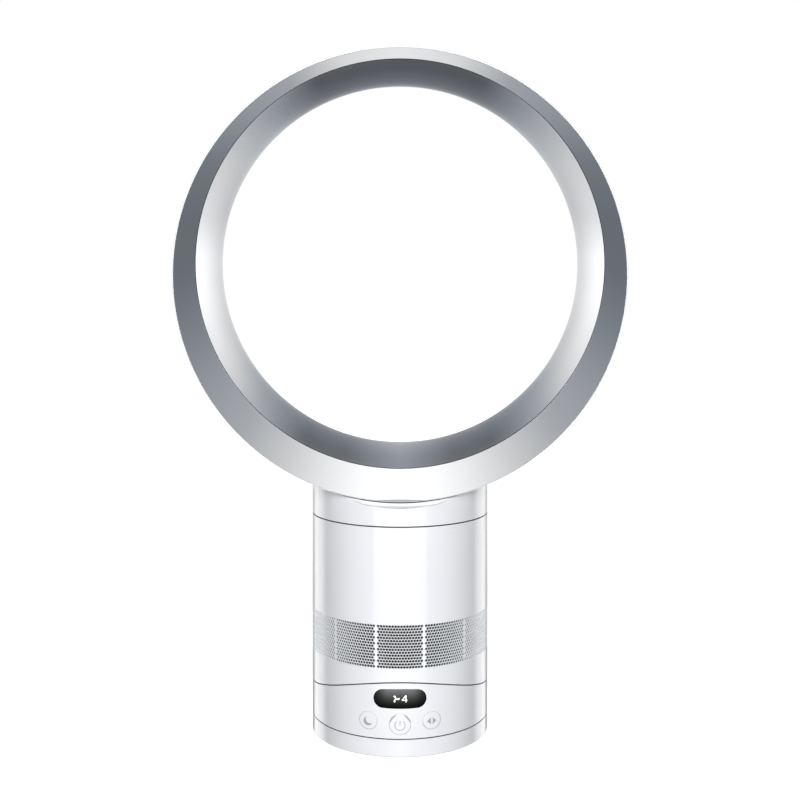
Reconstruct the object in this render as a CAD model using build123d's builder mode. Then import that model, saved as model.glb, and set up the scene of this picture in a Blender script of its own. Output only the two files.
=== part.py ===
from build123d import *
import os
from math import acos, cos, pi, radians, sin, sqrt

# A bladeless desk fan. Millimetres. The origin is the centre of the foot on the floor, +Z is up
# and the fan faces -Y, so +X is to the right of someone who stands in front of it.

# ---------------------------------------------------------------- driving dimensions
BODY_R = 73.5  # outer radius of the round body
WALL = 2.5  # wall of the moulded casings
SEAM = 0.8  # visible gap between two body sections
PLATE = 2.5  # thickness of floors and decks
SLIP = 0.2  # gap between a casing and what slides into it
SIDES = 16  # flat sides of round mouldings that stay hidden

FOOT_TOP = 14.6
PAD_HEIGHT = 0.8  # the rubber ring carries the foot this far above the floor

TILT_Z = 208.0  # height of the tilt axis, which lies along X
TILT_R = 165.0  # radius of the curved seam about the tilt axis

CASING_TOP = 183.2
NECK_BOTTOM = CASING_TOP + SEAM

LOOP_Z = 380.1  # axis of the loop's outer circles
THROAT_Z = 388.9  # axis of its inner circles, which sit higher
CREST_R = 159.1  # edge between bevel and diffuser
BEVEL_R = 177.4  # outer edge of the bevel
RIM_R = 179.1  # outer edge of the white casing around it
THROAT_R = 148.0
CREST_Y = -73.5
RIM_Y = -66.0
LOOP_REAR_Y = 26.5

LOWER_EDGE = FOOT_TOP + SEAM
INNER_R = BODY_R - WALL
SLIP_R = INNER_R - SLIP
SHELL_TILT_R = TILT_R + SEAM / 2
CASING_TILT_R = TILT_R - SEAM / 2
ACROSS = 2 * BODY_R + 4  # longer than the body is wide, for cuts that go right through

# ---------------------------------------------------------------- shared profiles


def ring_profile(inner, outer, bottom, top):
    """Return the section of a turned ring: two radii and two heights."""
    with BuildSketch() as profile:
        with BuildLine():
            Polyline((inner, bottom), (outer, bottom), (outer, top), (inner, top), close=True)
        make_face()
    return profile.sketch


def hidden_ring(inner, outer):
    """Return a faceted ring for mouldings inside the casings."""
    with BuildSketch() as ring:
        RegularPolygon(outer, SIDES)
        RegularPolygon(inner, SIDES, mode=Mode.SUBTRACT)
    return ring.sketch


def tilt_disc(radius):
    """Return the disc about the tilt axis, in (y, z)."""
    with BuildSketch() as disc:
        with Locations((0, TILT_Z)):
            Circle(radius)
    return disc.sketch


def tilt_band(inner, outer, half_angle):
    """Return the band between two arcs that hang below the tilt axis, in (y, z)."""
    with BuildSketch() as band:
        with BuildLine():
            low = CenterArc((0, TILT_Z), outer, -90 - half_angle, 2 * half_angle)
            high = CenterArc((0, TILT_Z), inner, -90 - half_angle, 2 * half_angle)
            Line(low @ 0, high @ 0)
            Line(low @ 1, high @ 1)
        make_face()
    return band.sketch


def hex_screw(head_radius, shank_radius, length):
    """Return a hexagon-headed screw: its head stands on z = 0 and its shank points down."""
    with BuildPart() as screw:
        with BuildSketch():
            RegularPolygon(head_radius, 6)
        extrude(amount=head_radius * 0.7)
        with BuildSketch():
            RegularPolygon(shank_radius, 6)
        extrude(amount=-length)
    return screw.part


def involute(base_radius, radius):
    """Return the angle between a flank's start on the base circle and its point at a radius."""
    if radius <= base_radius:
        return 0.0
    return sqrt((radius / base_radius) ** 2 - 1) - acos(base_radius / radius)


def tooth_points(teeth, centre_angle, addendum, dedendum):
    """Return one gear tooth's outline, from its first root corner to its second."""
    pitch_r = GEAR_MODULE * teeth / 2
    base_r = pitch_r * cos(radians(PRESSURE_ANGLE))
    radii = (pitch_r - dedendum, pitch_r, pitch_r + addendum)
    half_at_pitch = pi / (2 * teeth) - BACKLASH / (2 * pitch_r)
    halves = [half_at_pitch + involute(base_r, pitch_r) - involute(base_r, r) for r in radii]
    middle = radians(centre_angle)
    first = [(r * cos(middle - h), r * sin(middle - h)) for r, h in zip(radii, halves)]
    second = [(r * cos(middle + h), r * sin(middle + h)) for r, h in zip(radii, halves)]
    return first + second[::-1]


# ================================================================ foot
PAD_INNER = 59.0
PAD_OUTER = 70.0
FOOT_EDGE = 1.2
SUPPORT_INNER = 52.0
SUPPORT_OUTER = 58.0
SUPPORT_TOP = 11.0
FLOOR_TOP = PAD_HEIGHT + PLATE
GROMMET_Z = 8.0
GROMMET_R = 4.6
CORD_R = 3.4
GROMMET_INSIDE = 66.0  # the grommet reaches in as far as this
SCREW_CIRCLE = 11.0

with BuildPart() as foot_shell:
    with BuildSketch(Plane.XZ):
        with BuildLine():
            Polyline(
                (0, PAD_HEIGHT),
                (BODY_R - FOOT_EDGE, PAD_HEIGHT),
                (BODY_R, PAD_HEIGHT + FOOT_EDGE),
                (BODY_R, FOOT_TOP),
                (INNER_R, FOOT_TOP),
                (INNER_R, FLOOR_TOP),
                (0, FLOOR_TOP),
                close=True,
            )
        make_face()
    revolve(axis=Axis.Z)
    with BuildSketch(Plane.XY.offset(FLOOR_TOP)):
        add(hidden_ring(SUPPORT_INNER, SUPPORT_OUTER))
    extrude(amount=SUPPORT_TOP - FLOOR_TOP)
    with BuildSketch(Plane.XZ.offset(-BODY_R - 1)):
        with Locations((0, GROMMET_Z)):
            RegularPolygon(GROMMET_R, 8)
    extrude(amount=BODY_R + 1 - GROMMET_INSIDE, mode=Mode.SUBTRACT)
foot_shell.part.label = "foot_shell"

with BuildPart() as foot_pad_ring:
    with BuildSketch():
        add(hidden_ring(PAD_INNER, PAD_OUTER))
    extrude(amount=PAD_HEIGHT)
foot_pad_ring.part.label = "foot_pad_ring"

with BuildPart() as cord_grommet:
    with BuildSketch(Plane.XZ.offset(-BODY_R + SLIP)):
        with Locations((0, GROMMET_Z)):
            RegularPolygon(GROMMET_R - 0.05, 8)
    extrude(amount=BODY_R - SLIP - GROMMET_INSIDE)
    with BuildSketch(Plane.XZ.offset(-INNER_R + 0.4)):
        with Locations((0, GROMMET_Z + 0.6)):
            Rectangle(13, 9.5)
    extrude(amount=2)
    with BuildSketch(Plane.XZ.offset(-BODY_R)):
        with Locations((0, GROMMET_Z)):
            Circle(CORD_R)
    extrude(amount=20, mode=Mode.SUBTRACT)
cord_grommet.part.label = "cord_grommet"

GEAR_MODULE = 1.0
SECTOR_TEETH = 64
PINION_TEETH = 16
PRESSURE_ANGLE = 20.0
BACKLASH = 0.16
ADDENDUM = 0.8
DEDENDUM = 1.2
GEAR_BOTTOM = FLOOR_TOP
GEAR_TOP = 9.3
SECTOR_INNER = 21.0
SECTOR_TOOTH_PAIRS = 7  # teeth to each side of the middle one
MOTOR_Y = GEAR_MODULE * (SECTOR_TEETH + PINION_TEETH) / 2

with BuildPart() as gear_sector:
    pitch_angle = 360 / SECTOR_TEETH
    outline = []
    for tooth in range(-SECTOR_TOOTH_PAIRS, SECTOR_TOOTH_PAIRS + 1):
        outline += tooth_points(SECTOR_TEETH, 90 + tooth * pitch_angle, ADDENDUM, DEDENDUM)
    reach = (SECTOR_TOOTH_PAIRS + 0.5) * pitch_angle
    with BuildSketch(Plane.XY.offset(GEAR_BOTTOM)):
        with BuildLine():
            teeth = Polyline(*outline)
            inside = CenterArc((0, 0), SECTOR_INNER, 90 - reach, 2 * reach)
            Line(teeth @ 0, inside @ 0)
            Line(teeth @ 1, inside @ 1)
        make_face()
    extrude(amount=GEAR_TOP - GEAR_BOTTOM)
    with BuildSketch(Plane.XY.offset(GEAR_BOTTOM)):
        add(hidden_ring(15.0, SECTOR_INNER + 1))
    extrude(amount=PLATE)
gear_sector.part.label = "gear_sector"

SPINDLE_R = 8.0
SPINDLE_BORE = 5.5
SPINDLE_TOP = 20.4
SPINDLE_FLANGE = 14.0
HUB_TOP = 20.0
HUB_R = 12.0
RUNNING_FIT = 0.05

with BuildPart() as foot_spindle:
    with BuildSketch(Plane.XY.offset(FLOOR_TOP)):
        RegularPolygon(SPINDLE_FLANGE, 12)
    extrude(amount=2)
    with BuildSketch(Plane.XY.offset(FLOOR_TOP)):
        Circle(SPINDLE_R)
    extrude(amount=SPINDLE_TOP - FLOOR_TOP)
    with BuildSketch(Plane.XY.offset(FLOOR_TOP)):
        RegularPolygon(SPINDLE_BORE, 12)
    extrude(amount=SPINDLE_TOP, mode=Mode.SUBTRACT)
foot_spindle.part.label = "foot_spindle"

with BuildPart() as spindle_retainer:
    with BuildSketch(Plane.XY.offset(SPINDLE_TOP)):
        RegularPolygon(HUB_R, 12)
        RegularPolygon(SPINDLE_BORE, 12, mode=Mode.SUBTRACT)
    extrude(amount=1.5)
spindle_retainer.part.label = "spindle_retainer"

with BuildPart() as turntable_washer:
    with BuildSketch(Plane.XY.offset(SUPPORT_TOP)):
        add(hidden_ring(SUPPORT_INNER + 0.5, SUPPORT_OUTER - 0.5))
    extrude(amount=1.2)
turntable_washer.part.label = "turntable_washer"

# ================================================================ lower body, which turns on the foot
LEDGE_R = 65.0
LEDGE_BOTTOM = 18.2
LEDGE_TOP = 20.4
DISPLAY_Z = 47.7
DISPLAY_HEIGHT = 15.5
DISPLAY_WIDTH = 2 * BODY_R * sin(radians(16.5))
SIDE_KEY_X = BODY_R * sin(radians(20))
SIDE_KEY_Z = 28.8
SIDE_KEY_R = 7.15
POWER_KEY_Z = 27.0
POWER_KEY_R = 8.6
KEY_GAP = 0.25
BOARD_BOSS_X = 20.5
BOARD_BOSS_Z = 39.2
DISPLAY_BOARD_Y = -64.5  # front face of the display's board

with BuildPart() as lower_body_shell:
    with BuildSketch(Plane.XY.offset(LOWER_EDGE)):
        Circle(BODY_R)
        Circle(INNER_R, mode=Mode.SUBTRACT)
    extrude(amount=50)
    with BuildSketch(Plane.XY.offset(LEDGE_BOTTOM)):
        Circle(INNER_R + 0.5)
        RegularPolygon(LEDGE_R, SIDES, mode=Mode.SUBTRACT)
    extrude(amount=LEDGE_TOP - LEDGE_BOTTOM)
    with BuildSketch(Plane.XZ.offset(-DISPLAY_BOARD_Y)):
        with Locations((-BOARD_BOSS_X, BOARD_BOSS_Z), (BOARD_BOSS_X, BOARD_BOSS_Z)):
            RegularPolygon(2.2, 8)
    extrude(amount=6)
    with BuildSketch(Plane.YZ.offset(-ACROSS / 2)):
        add(tilt_disc(SHELL_TILT_R))
    extrude(amount=ACROSS, mode=Mode.SUBTRACT)
    with BuildSketch(Plane.XZ.offset(60)):
        with Locations((0, DISPLAY_Z)):
            SlotOverall(DISPLAY_WIDTH, DISPLAY_HEIGHT)
        with Locations((-SIDE_KEY_X, SIDE_KEY_Z), (SIDE_KEY_X, SIDE_KEY_Z)):
            Circle(SIDE_KEY_R)
        with Locations((0, POWER_KEY_Z)):
            Circle(POWER_KEY_R)
    extrude(amount=20, mode=Mode.SUBTRACT)
lower_body_shell.part.label = "lower_body_shell"

CHASSIS_TOP = LEDGE_BOTTOM
CHASSIS_BOTTOM = CHASSIS_TOP - PLATE
TURNTABLE_BOTTOM = SUPPORT_TOP + 1.3
POST_X = 41.5
POST_TOP = 43.0
POST_SIDE = 8.0
POST_CAP = 3.0  # solid top of a post, which the screw clamps
M3_SHANK = 1.3
M3_HEAD = 2.3
BOARD_FRONT = -54.5  # front face of the control board
BOARD_THICKNESS = 1.6
BOARD_TOP = 40.0
BOARD_HALF_WIDTH = 31.0
PINION_CLEARANCE = 6.0

with BuildPart() as lower_chassis:
    with BuildSketch(Plane.XY.offset(CHASSIS_BOTTOM)):
        RegularPolygon(SLIP_R, 2 * SIDES)
    extrude(amount=PLATE)
    with BuildSketch(Plane.XY.offset(TURNTABLE_BOTTOM)):
        add(hidden_ring(SUPPORT_INNER, SUPPORT_OUTER))
        RegularPolygon(HUB_R, 12)
    extrude(amount=CHASSIS_TOP - TURNTABLE_BOTTOM)
    with BuildSketch(Plane.XY.offset(CHASSIS_TOP)):
        RegularPolygon(HUB_R, 12)
    extrude(amount=HUB_TOP - CHASSIS_TOP)
    with BuildSketch(Plane.XY.offset(CHASSIS_TOP)):
        with GridLocations(2 * POST_X, 2 * POST_X, 2, 2):
            Rectangle(POST_SIDE, POST_SIDE)
    extrude(amount=POST_TOP - CHASSIS_TOP)
    with BuildSketch(Plane.XY.offset(CHASSIS_TOP)):
        with Locations((0, BOARD_FRONT + BOARD_THICKNESS + 1.5)):
            with GridLocations(50, 0, 2, 1):
                Rectangle(6, 3)
    extrude(amount=16)
    with BuildSketch(Plane.XY.offset(TURNTABLE_BOTTOM)):
        Circle(SPINDLE_R + RUNNING_FIT)
        with Locations((0, MOTOR_Y)):
            RegularPolygon(PINION_CLEARANCE, 12)
    extrude(amount=HUB_TOP, mode=Mode.SUBTRACT)
    with BuildSketch(Plane.XY.offset(CHASSIS_BOTTOM)):
        with GridLocations(2 * POST_X, 2 * POST_X, 2, 2):
            Rectangle(5, 5)
    extrude(amount=POST_TOP - POST_CAP - CHASSIS_BOTTOM, mode=Mode.SUBTRACT)
    with BuildSketch(Plane.XY.offset(CHASSIS_BOTTOM)):
        with GridLocations(2 * POST_X, 2 * POST_X, 2, 2):
            RegularPolygon(M3_SHANK, 6)
    extrude(amount=POST_TOP - CHASSIS_BOTTOM, mode=Mode.SUBTRACT)
lower_chassis.part.label = "lower_chassis"

RAIL_X = 30.0  # the tilt rails lie this far to each side of the centre
RAIL_WIDTH = 4.0
RAIL_HALF_ANGLE = 8.0
SLOT_HALF_ANGLE = 19.5  # the rail, ten degrees of travel and clearance
CRADLE_TOP_R = TILT_R + 0.9
CRADLE_LOW_R = CRADLE_TOP_R + PLATE
CRADLE_FRONT = -61.5  # in front of this the middle is open, for the display
CRADLE_HALF_ANGLE = 25.5

with BuildPart() as tilt_cradle:
    with BuildSketch(Plane.YZ.offset(-ACROSS / 2)):
        add(tilt_band(CRADLE_TOP_R, CRADLE_LOW_R, CRADLE_HALF_ANGLE))
    extrude(amount=ACROSS)
    with BuildSketch(Plane.XY.offset(POST_TOP)):
        with GridLocations(2 * POST_X, 2 * POST_X, 2, 2):
            Rectangle(POST_SIDE, POST_SIDE)
    extrude(amount=10)
    with BuildSketch(Plane.YZ.offset(-ACROSS / 2)):
        add(tilt_disc(CRADLE_TOP_R))
    extrude(amount=ACROSS, mode=Mode.SUBTRACT)
    with BuildSketch(Plane.XY.offset(30)):
        Circle(SLIP_R)
    extrude(amount=40, mode=Mode.INTERSECT)
    for side in (-1, 1):
        with BuildSketch(Plane.YZ.offset(side * RAIL_X - RAIL_WIDTH / 2 - 0.5)):
            add(tilt_band(TILT_R, CRADLE_LOW_R + 2, SLOT_HALF_ANGLE))
        extrude(amount=RAIL_WIDTH + 1, mode=Mode.SUBTRACT)
    with BuildSketch(Plane.XY.offset(30)):
        with Locations((0, CRADLE_FRONT - 10)):
            Rectangle(54, 20)
        RegularPolygon(9, 12)
    extrude(amount=40, mode=Mode.SUBTRACT)
tilt_cradle.part.label = "tilt_cradle"

with BuildPart() as tilt_friction_pads:
    for pad_x in (-20, 10):
        with BuildSketch(Plane.YZ.offset(pad_x)):
            add(tilt_band(CRADLE_TOP_R - 0.7, CRADLE_TOP_R, 6))
        extrude(amount=10)
tilt_friction_pads.part.label = "tilt_friction_pads"

with BuildPart() as cradle_screws:
    with Locations(Location((0, 0, POST_TOP - POST_CAP), (180, 0, 0))):
        with GridLocations(2 * POST_X, 2 * POST_X, 2, 2):
            add(hex_screw(M3_HEAD, M3_SHANK, POST_CAP))
cradle_screws.part.label = "cradle_screws"

with BuildPart() as display_lens:
    with BuildSketch(Plane.XZ.offset(60)):
        with Locations((0, DISPLAY_Z)):
            SlotOverall(DISPLAY_WIDTH - 0.3, DISPLAY_HEIGHT - 0.3)
    extrude(amount=20)
    with BuildSketch(Plane.XY.offset(30)):
        Circle(BODY_R - 0.2)
        Circle(INNER_R - 0.3, mode=Mode.SUBTRACT)
    extrude(amount=40, mode=Mode.INTERSECT)
display_lens.part.label = "display_lens"

with BuildPart() as display_module:
    with BuildSketch(Plane.XZ.offset(-DISPLAY_BOARD_Y)):
        with Locations((0, DISPLAY_Z)):
            Rectangle(33, 11.5)
    extrude(amount=3.6)
display_module.part.label = "display_module"

with BuildPart() as display_board:
    with BuildSketch(Plane.XZ.offset(-DISPLAY_BOARD_Y)):
        with Locations((0, 45.6)):
            Rectangle(46, 16.6)
    extrude(amount=-BOARD_THICKNESS)
display_board.part.label = "display_board"

with BuildPart() as control_board:
    with BuildSketch(Plane.XZ.offset(-BOARD_FRONT)):
        with Locations((0, (BOARD_TOP + LEDGE_TOP + 0.4) / 2)):
            Rectangle(2 * BOARD_HALF_WIDTH, BOARD_TOP - LEDGE_TOP - 0.4)
    extrude(amount=-BOARD_THICKNESS)
    with BuildSketch(Plane.XZ.offset(-BOARD_FRONT - BOARD_THICKNESS)):
        with Locations((-10, 30), (2, 34)):
            Rectangle(7, 7)
        with Locations((12, 29)):
            RegularPolygon(4, 12)
    extrude(amount=-5)
control_board.part.label = "control_board"

SWITCH_DEPTH = 3.5
SWITCH_TIP = 0.8

with BuildPart() as tact_switches:
    with BuildSketch(Plane.XZ.offset(-BOARD_FRONT)):
        with Locations((-SIDE_KEY_X, SIDE_KEY_Z), (0, POWER_KEY_Z), (SIDE_KEY_X, SIDE_KEY_Z)):
            Rectangle(6, 6)
    extrude(amount=SWITCH_DEPTH)
    with BuildSketch(Plane.XZ.offset(-BOARD_FRONT)):
        with Locations((-SIDE_KEY_X, SIDE_KEY_Z), (0, POWER_KEY_Z), (SIDE_KEY_X, SIDE_KEY_Z)):
            RegularPolygon(1.75, 8)
    extrude(amount=SWITCH_DEPTH + SWITCH_TIP)
tact_switches.part.label = "tact_switches"

MOTOR_R = 14.0
MOTOR_TOP = 35.0
MOTOR_SHAFT_R = 2.5
MOTOR_BORE_TOP = 31.0
MOTOR_EAR = 1.0
MOTOR_SCREW_X = 17.5

with BuildPart() as oscillation_motor:
    with BuildSketch(Plane.XY.offset(CHASSIS_TOP)):
        with Locations((0, MOTOR_Y)):
            RegularPolygon(MOTOR_R, SIDES)
    extrude(amount=MOTOR_TOP - CHASSIS_TOP)
    with BuildSketch(Plane.XY.offset(CHASSIS_TOP)):
        with Locations((0, MOTOR_Y)):
            SlotOverall(42, 7)
    extrude(amount=MOTOR_EAR)
    with BuildSketch(Plane.XY.offset(CHASSIS_TOP)):
        with Locations((-MOTOR_SCREW_X, MOTOR_Y), (MOTOR_SCREW_X, MOTOR_Y)):
            RegularPolygon(M3_SHANK, 6)
    extrude(amount=MOTOR_EAR, mode=Mode.SUBTRACT)
    with BuildSketch(Plane.XY.offset(CHASSIS_TOP)):
        with Locations((0, MOTOR_Y)):
            Circle(MOTOR_SHAFT_R + RUNNING_FIT)
    extrude(amount=MOTOR_BORE_TOP - CHASSIS_TOP, mode=Mode.SUBTRACT)
oscillation_motor.part.label = "oscillation_motor"

with BuildPart() as oscillation_motor_screws:
    ear_top = CHASSIS_TOP + MOTOR_EAR
    with Locations((-MOTOR_SCREW_X, MOTOR_Y, ear_top), (MOTOR_SCREW_X, MOTOR_Y, ear_top)):
        add(hex_screw(M3_HEAD, M3_SHANK, MOTOR_EAR))
oscillation_motor_screws.part.label = "oscillation_motor_screws"

PINION_BOTTOM = GEAR_BOTTOM + 0.5
PINION_TOP = GEAR_TOP + 0.5

with BuildPart() as oscillation_pinion:
    outline = []
    for tooth in range(PINION_TEETH):
        centre_angle = -90 + (tooth + 0.5) * 360 / PINION_TEETH
        outline += tooth_points(PINION_TEETH, centre_angle, ADDENDUM, DEDENDUM)
    with BuildSketch(Plane.XY.offset(PINION_BOTTOM)):
        with BuildLine(Location((0, MOTOR_Y))):
            Polyline(*outline, close=True)
        make_face()
    extrude(amount=PINION_TOP - PINION_BOTTOM)
    with BuildSketch(Plane.XY.offset(PINION_BOTTOM)):
        with Locations((0, MOTOR_Y)):
            Circle(MOTOR_SHAFT_R)
    extrude(amount=MOTOR_BORE_TOP - 1 - PINION_BOTTOM)
oscillation_pinion.part.label = "oscillation_pinion"

# ================================================================ push keys
KEY_FLANGE_Y = -62.2  # front of the flange that stops a key behind the shell
KEY_FLANGE = 1.2
KEY_TRAVEL = 0.9
KEY_TAIL = 2.3  # the plunger ends this far behind the flange's front


def push_key(centre_x, centre_z, radius):
    """Return a key: a cap that follows the body's curve, a flange and a plunger."""
    with BuildPart() as key:
        with BuildSketch(Plane.XZ.offset(-KEY_FLANGE_Y)):
            with Locations((centre_x, centre_z)):
                Circle(radius)
        extrude(amount=20)
        with BuildSketch(Plane.XY.offset(LOWER_EDGE)):
            Circle(BODY_R)
        extrude(amount=40, mode=Mode.INTERSECT)
        with BuildSketch(Plane.XZ.offset(-KEY_FLANGE_Y)):
            with Locations((centre_x, centre_z)):
                Rectangle(2 * radius + 3.2, radius)
        extrude(amount=-KEY_FLANGE)
        with BuildSketch(Plane.XZ.offset(-KEY_FLANGE_Y)):
            with Locations((centre_x, centre_z)):
                RegularPolygon(2, 8)
        extrude(amount=-KEY_TAIL)
    return key.part


with BuildPart() as power_key:
    add(push_key(0, POWER_KEY_Z, POWER_KEY_R - KEY_GAP))
power_key.part.label = "power_key"

with BuildPart() as timer_key:
    add(push_key(-SIDE_KEY_X, SIDE_KEY_Z, SIDE_KEY_R - KEY_GAP))
timer_key.part.label = "timer_key"

with BuildPart() as swing_key:
    add(push_key(SIDE_KEY_X, SIDE_KEY_Z, SIDE_KEY_R - KEY_GAP))
swing_key.part.label = "swing_key"

# ================================================================ main body, which tilts
PANELS = 12
GRILLE_LOW = 71.5
GRILLE_HIGH = 105.8
GRILLE_SLOTS = 6  # upright slots in each panel, with the open area of its field of pinholes
GRILLE_PITCH = 5.6
GRILLE_SLOT = 2.0
RIM_LEDGE_Z = 160.0
RIM_LEDGE_R = 65.5

with BuildPart() as main_body_casing:
    with BuildSketch(Plane.XY.offset(40)):
        Circle(BODY_R)
        Circle(INNER_R, mode=Mode.SUBTRACT)
    extrude(amount=CASING_TOP - 40)
    with BuildSketch(Plane.YZ.offset(-ACROSS / 2)):
        add(tilt_band(CASING_TILT_R, 200, 40))
    extrude(amount=ACROSS, mode=Mode.SUBTRACT)
    with BuildSketch(Plane.XY.offset(RIM_LEDGE_Z)):
        Circle(INNER_R + 0.5)
        RegularPolygon(RIM_LEDGE_R, SIDES, mode=Mode.SUBTRACT)
    extrude(amount=2)
    for panel in range(PANELS):
        turn = 360 * panel / PANELS - 90
        outward = Vector(cos(radians(turn)), sin(radians(turn)), 0)
        sideways = Vector(-sin(radians(turn)), cos(radians(turn)), 0)
        middle = Vector(0, 0, (GRILLE_LOW + GRILLE_HIGH) / 2)
        with BuildSketch(Plane(middle, x_dir=sideways, z_dir=outward).offset(INNER_R - 3)):
            with GridLocations(GRILLE_PITCH, 0, GRILLE_SLOTS, 1):
                Rectangle(GRILLE_SLOT, GRILLE_HIGH - GRILLE_LOW)
        extrude(amount=WALL + 4, mode=Mode.SUBTRACT)
main_body_casing.part.label = "main_body_casing"

SHOE_R = CASING_TILT_R - 2.6
SHOE_TOP = 66.0
SHOE_RIM = 3.5
RETAINER_TOP_R = CRADLE_LOW_R + 0.5
RETAINER_LOW_R = RETAINER_TOP_R + PLATE
RETAINER_WIDTH = 8.0
RETAINER_SCREW_LENGTH = 4.5
M2_SHANK = 0.9


def under_retainer(side, turn):
    """Return the place of a screw head under a retainer, turned about the tilt axis."""
    head_y = RETAINER_LOW_R * sin(radians(turn))
    head_z = TILT_Z - RETAINER_LOW_R * cos(radians(turn))
    return Location((side * RAIL_X, head_y, head_z), (180 + turn, 0, 0))


RETAINER_SCREW_PLACES = [under_retainer(side, turn) for side in (-1, 1) for turn in (-5, 5)]

with BuildPart() as tilt_shoe:
    with BuildSketch(Plane.YZ.offset(-ACROSS / 2)):
        add(tilt_band(SHOE_R, CASING_TILT_R, 27))
    extrude(amount=ACROSS)
    with BuildSketch(Plane.XY.offset(40)):
        Circle(BODY_R + 5)
        RegularPolygon(SLIP_R - SHOE_RIM, SIDES, mode=Mode.SUBTRACT)
    extrude(amount=SHOE_TOP - 40)
    with BuildSketch(Plane.YZ.offset(-ACROSS / 2)):
        add(tilt_band(CASING_TILT_R, 200, 40))
    extrude(amount=ACROSS, mode=Mode.SUBTRACT)
    with BuildSketch(Plane.XY.offset(40)):
        RegularPolygon(SLIP_R, SIDES)
    extrude(amount=40, mode=Mode.INTERSECT)
    for side in (-1, 1):
        with BuildSketch(Plane.YZ.offset(side * RAIL_X - RAIL_WIDTH / 2)):
            add(tilt_band(SHOE_R + 1, RETAINER_TOP_R, RAIL_HALF_ANGLE))
        extrude(amount=RAIL_WIDTH)
    with Locations(*RETAINER_SCREW_PLACES):
        add(hex_screw(M3_HEAD, M2_SHANK, RETAINER_SCREW_LENGTH), mode=Mode.SUBTRACT)
    with BuildSketch(Plane.XY.offset(40)):
        RegularPolygon(8, 12)
    extrude(amount=20, mode=Mode.SUBTRACT)
tilt_shoe.part.label = "tilt_shoe"

with BuildPart() as tilt_retainers:
    for side in (-1, 1):
        with BuildSketch(Plane.YZ.offset(side * RAIL_X - RETAINER_WIDTH / 2)):
            add(tilt_band(RETAINER_TOP_R, RETAINER_LOW_R, RAIL_HALF_ANGLE))
        extrude(amount=RETAINER_WIDTH)
    with Locations(*RETAINER_SCREW_PLACES):
        add(hex_screw(M3_HEAD, M2_SHANK, RETAINER_SCREW_LENGTH), mode=Mode.SUBTRACT)
tilt_retainers.part.label = "tilt_retainers"

with BuildPart() as retainer_screws:
    with Locations(*RETAINER_SCREW_PLACES):
        add(hex_screw(M3_HEAD, M2_SHANK, RETAINER_SCREW_LENGTH))
retainer_screws.part.label = "retainer_screws"

with BuildPart() as intake_deck:
    with BuildSketch(Plane.XY.offset(SHOE_TOP)):
        add(hidden_ring(8, SLIP_R))
    extrude(amount=2)
intake_deck.part.label = "intake_deck"

MESH_R = 70.4
MESH_WALL = 0.8

with BuildPart() as intake_mesh:
    with BuildSketch(Plane.XY.offset(SHOE_TOP + 2)):
        RegularPolygon(MESH_R, 2 * SIDES)
        RegularPolygon(MESH_R - MESH_WALL, 2 * SIDES, mode=Mode.SUBTRACT)
    extrude(amount=GRILLE_HIGH + 2 - SHOE_TOP - 2)
intake_mesh.part.label = "intake_mesh"

with BuildPart() as inlet_foam:
    with BuildSketch(Plane.XY.offset(SHOE_TOP + 2)):
        add(hidden_ring(10, 58))
    extrude(amount=7)
inlet_foam.part.label = "inlet_foam"

HOUSING_R = 60.0  # inside of the impeller housing's straight part
HOUSING_TOP = 166.0
HOUSING_WALL = 2.0
INLET_Z = 82.0
INLET_R = 40.0
EYE_R = 34.0
EYE_Z = 88.0
IMPELLER_TOP = 128.0
FLARE_TOP = 134.0

with BuildPart() as impeller_housing:
    with BuildSketch(Plane.XZ):
        with BuildLine():
            Polyline(
                (INLET_R, INLET_Z),
                (EYE_R, EYE_Z),
                (HOUSING_R, FLARE_TOP),
                (HOUSING_R, HOUSING_TOP),
                (HOUSING_R + HOUSING_WALL, HOUSING_TOP),
                (HOUSING_R + HOUSING_WALL, FLARE_TOP),
                (EYE_R + HOUSING_WALL, EYE_Z),
                (INLET_R + HOUSING_WALL, INLET_Z),
                close=True,
            )
        make_face()
    revolve(axis=Axis.Z)
    with BuildSketch(Plane.XY.offset(HOUSING_TOP - HOUSING_WALL)):
        RegularPolygon(68.5, SIDES)
        Circle(HOUSING_R + HOUSING_WALL / 2, mode=Mode.SUBTRACT)
    extrude(amount=HOUSING_WALL)
impeller_housing.part.label = "impeller_housing"

with BuildPart() as housing_mounts:
    with BuildSketch(Plane.XY.offset(RIM_LEDGE_Z + 2)):
        with PolarLocations(66.8, 4, start_angle=45):
            RegularPolygon(1.9, 8)
    extrude(amount=HOUSING_TOP - HOUSING_WALL - RIM_LEDGE_Z - 2)
housing_mounts.part.label = "housing_mounts"

with BuildPart() as duct_seal:
    with BuildSketch(Plane.XY.offset(HOUSING_TOP - HOUSING_WALL)):
        add(hidden_ring(68.6, 70.8))
    extrude(amount=HOUSING_WALL)
duct_seal.part.label = "duct_seal"

BUCKET_R = 46.0
BUCKET_BOTTOM = 130.0
BUCKET_JOIN = 148.0
BUCKET_TOP = 170.0
BUCKET_WALL = 2.0
SHAFT_R = 3.0
BEARING_R = 8.0
LOW_BEARING_Z = 132.0
HIGH_BEARING_Z = 156.0
BEARING_HEIGHT = 5.0

with BuildPart() as motor_bucket_lower:
    with BuildSketch(Plane.XY.offset(BUCKET_BOTTOM)):
        add(hidden_ring(SHAFT_R + 1, BUCKET_R))
    extrude(amount=BUCKET_WALL)
    with BuildSketch(Plane.XY.offset(BUCKET_BOTTOM)):
        add(hidden_ring(BUCKET_R - BUCKET_WALL, BUCKET_R))
    extrude(amount=BUCKET_JOIN - BUCKET_BOTTOM)
    with BuildSketch(Plane.XY.offset(LOW_BEARING_Z)):
        RegularPolygon(BEARING_R + 2, 12)
        RegularPolygon(BEARING_R, 12, mode=Mode.SUBTRACT)
    extrude(amount=BEARING_HEIGHT)
motor_bucket_lower.part.label = "motor_bucket_lower"

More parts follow.
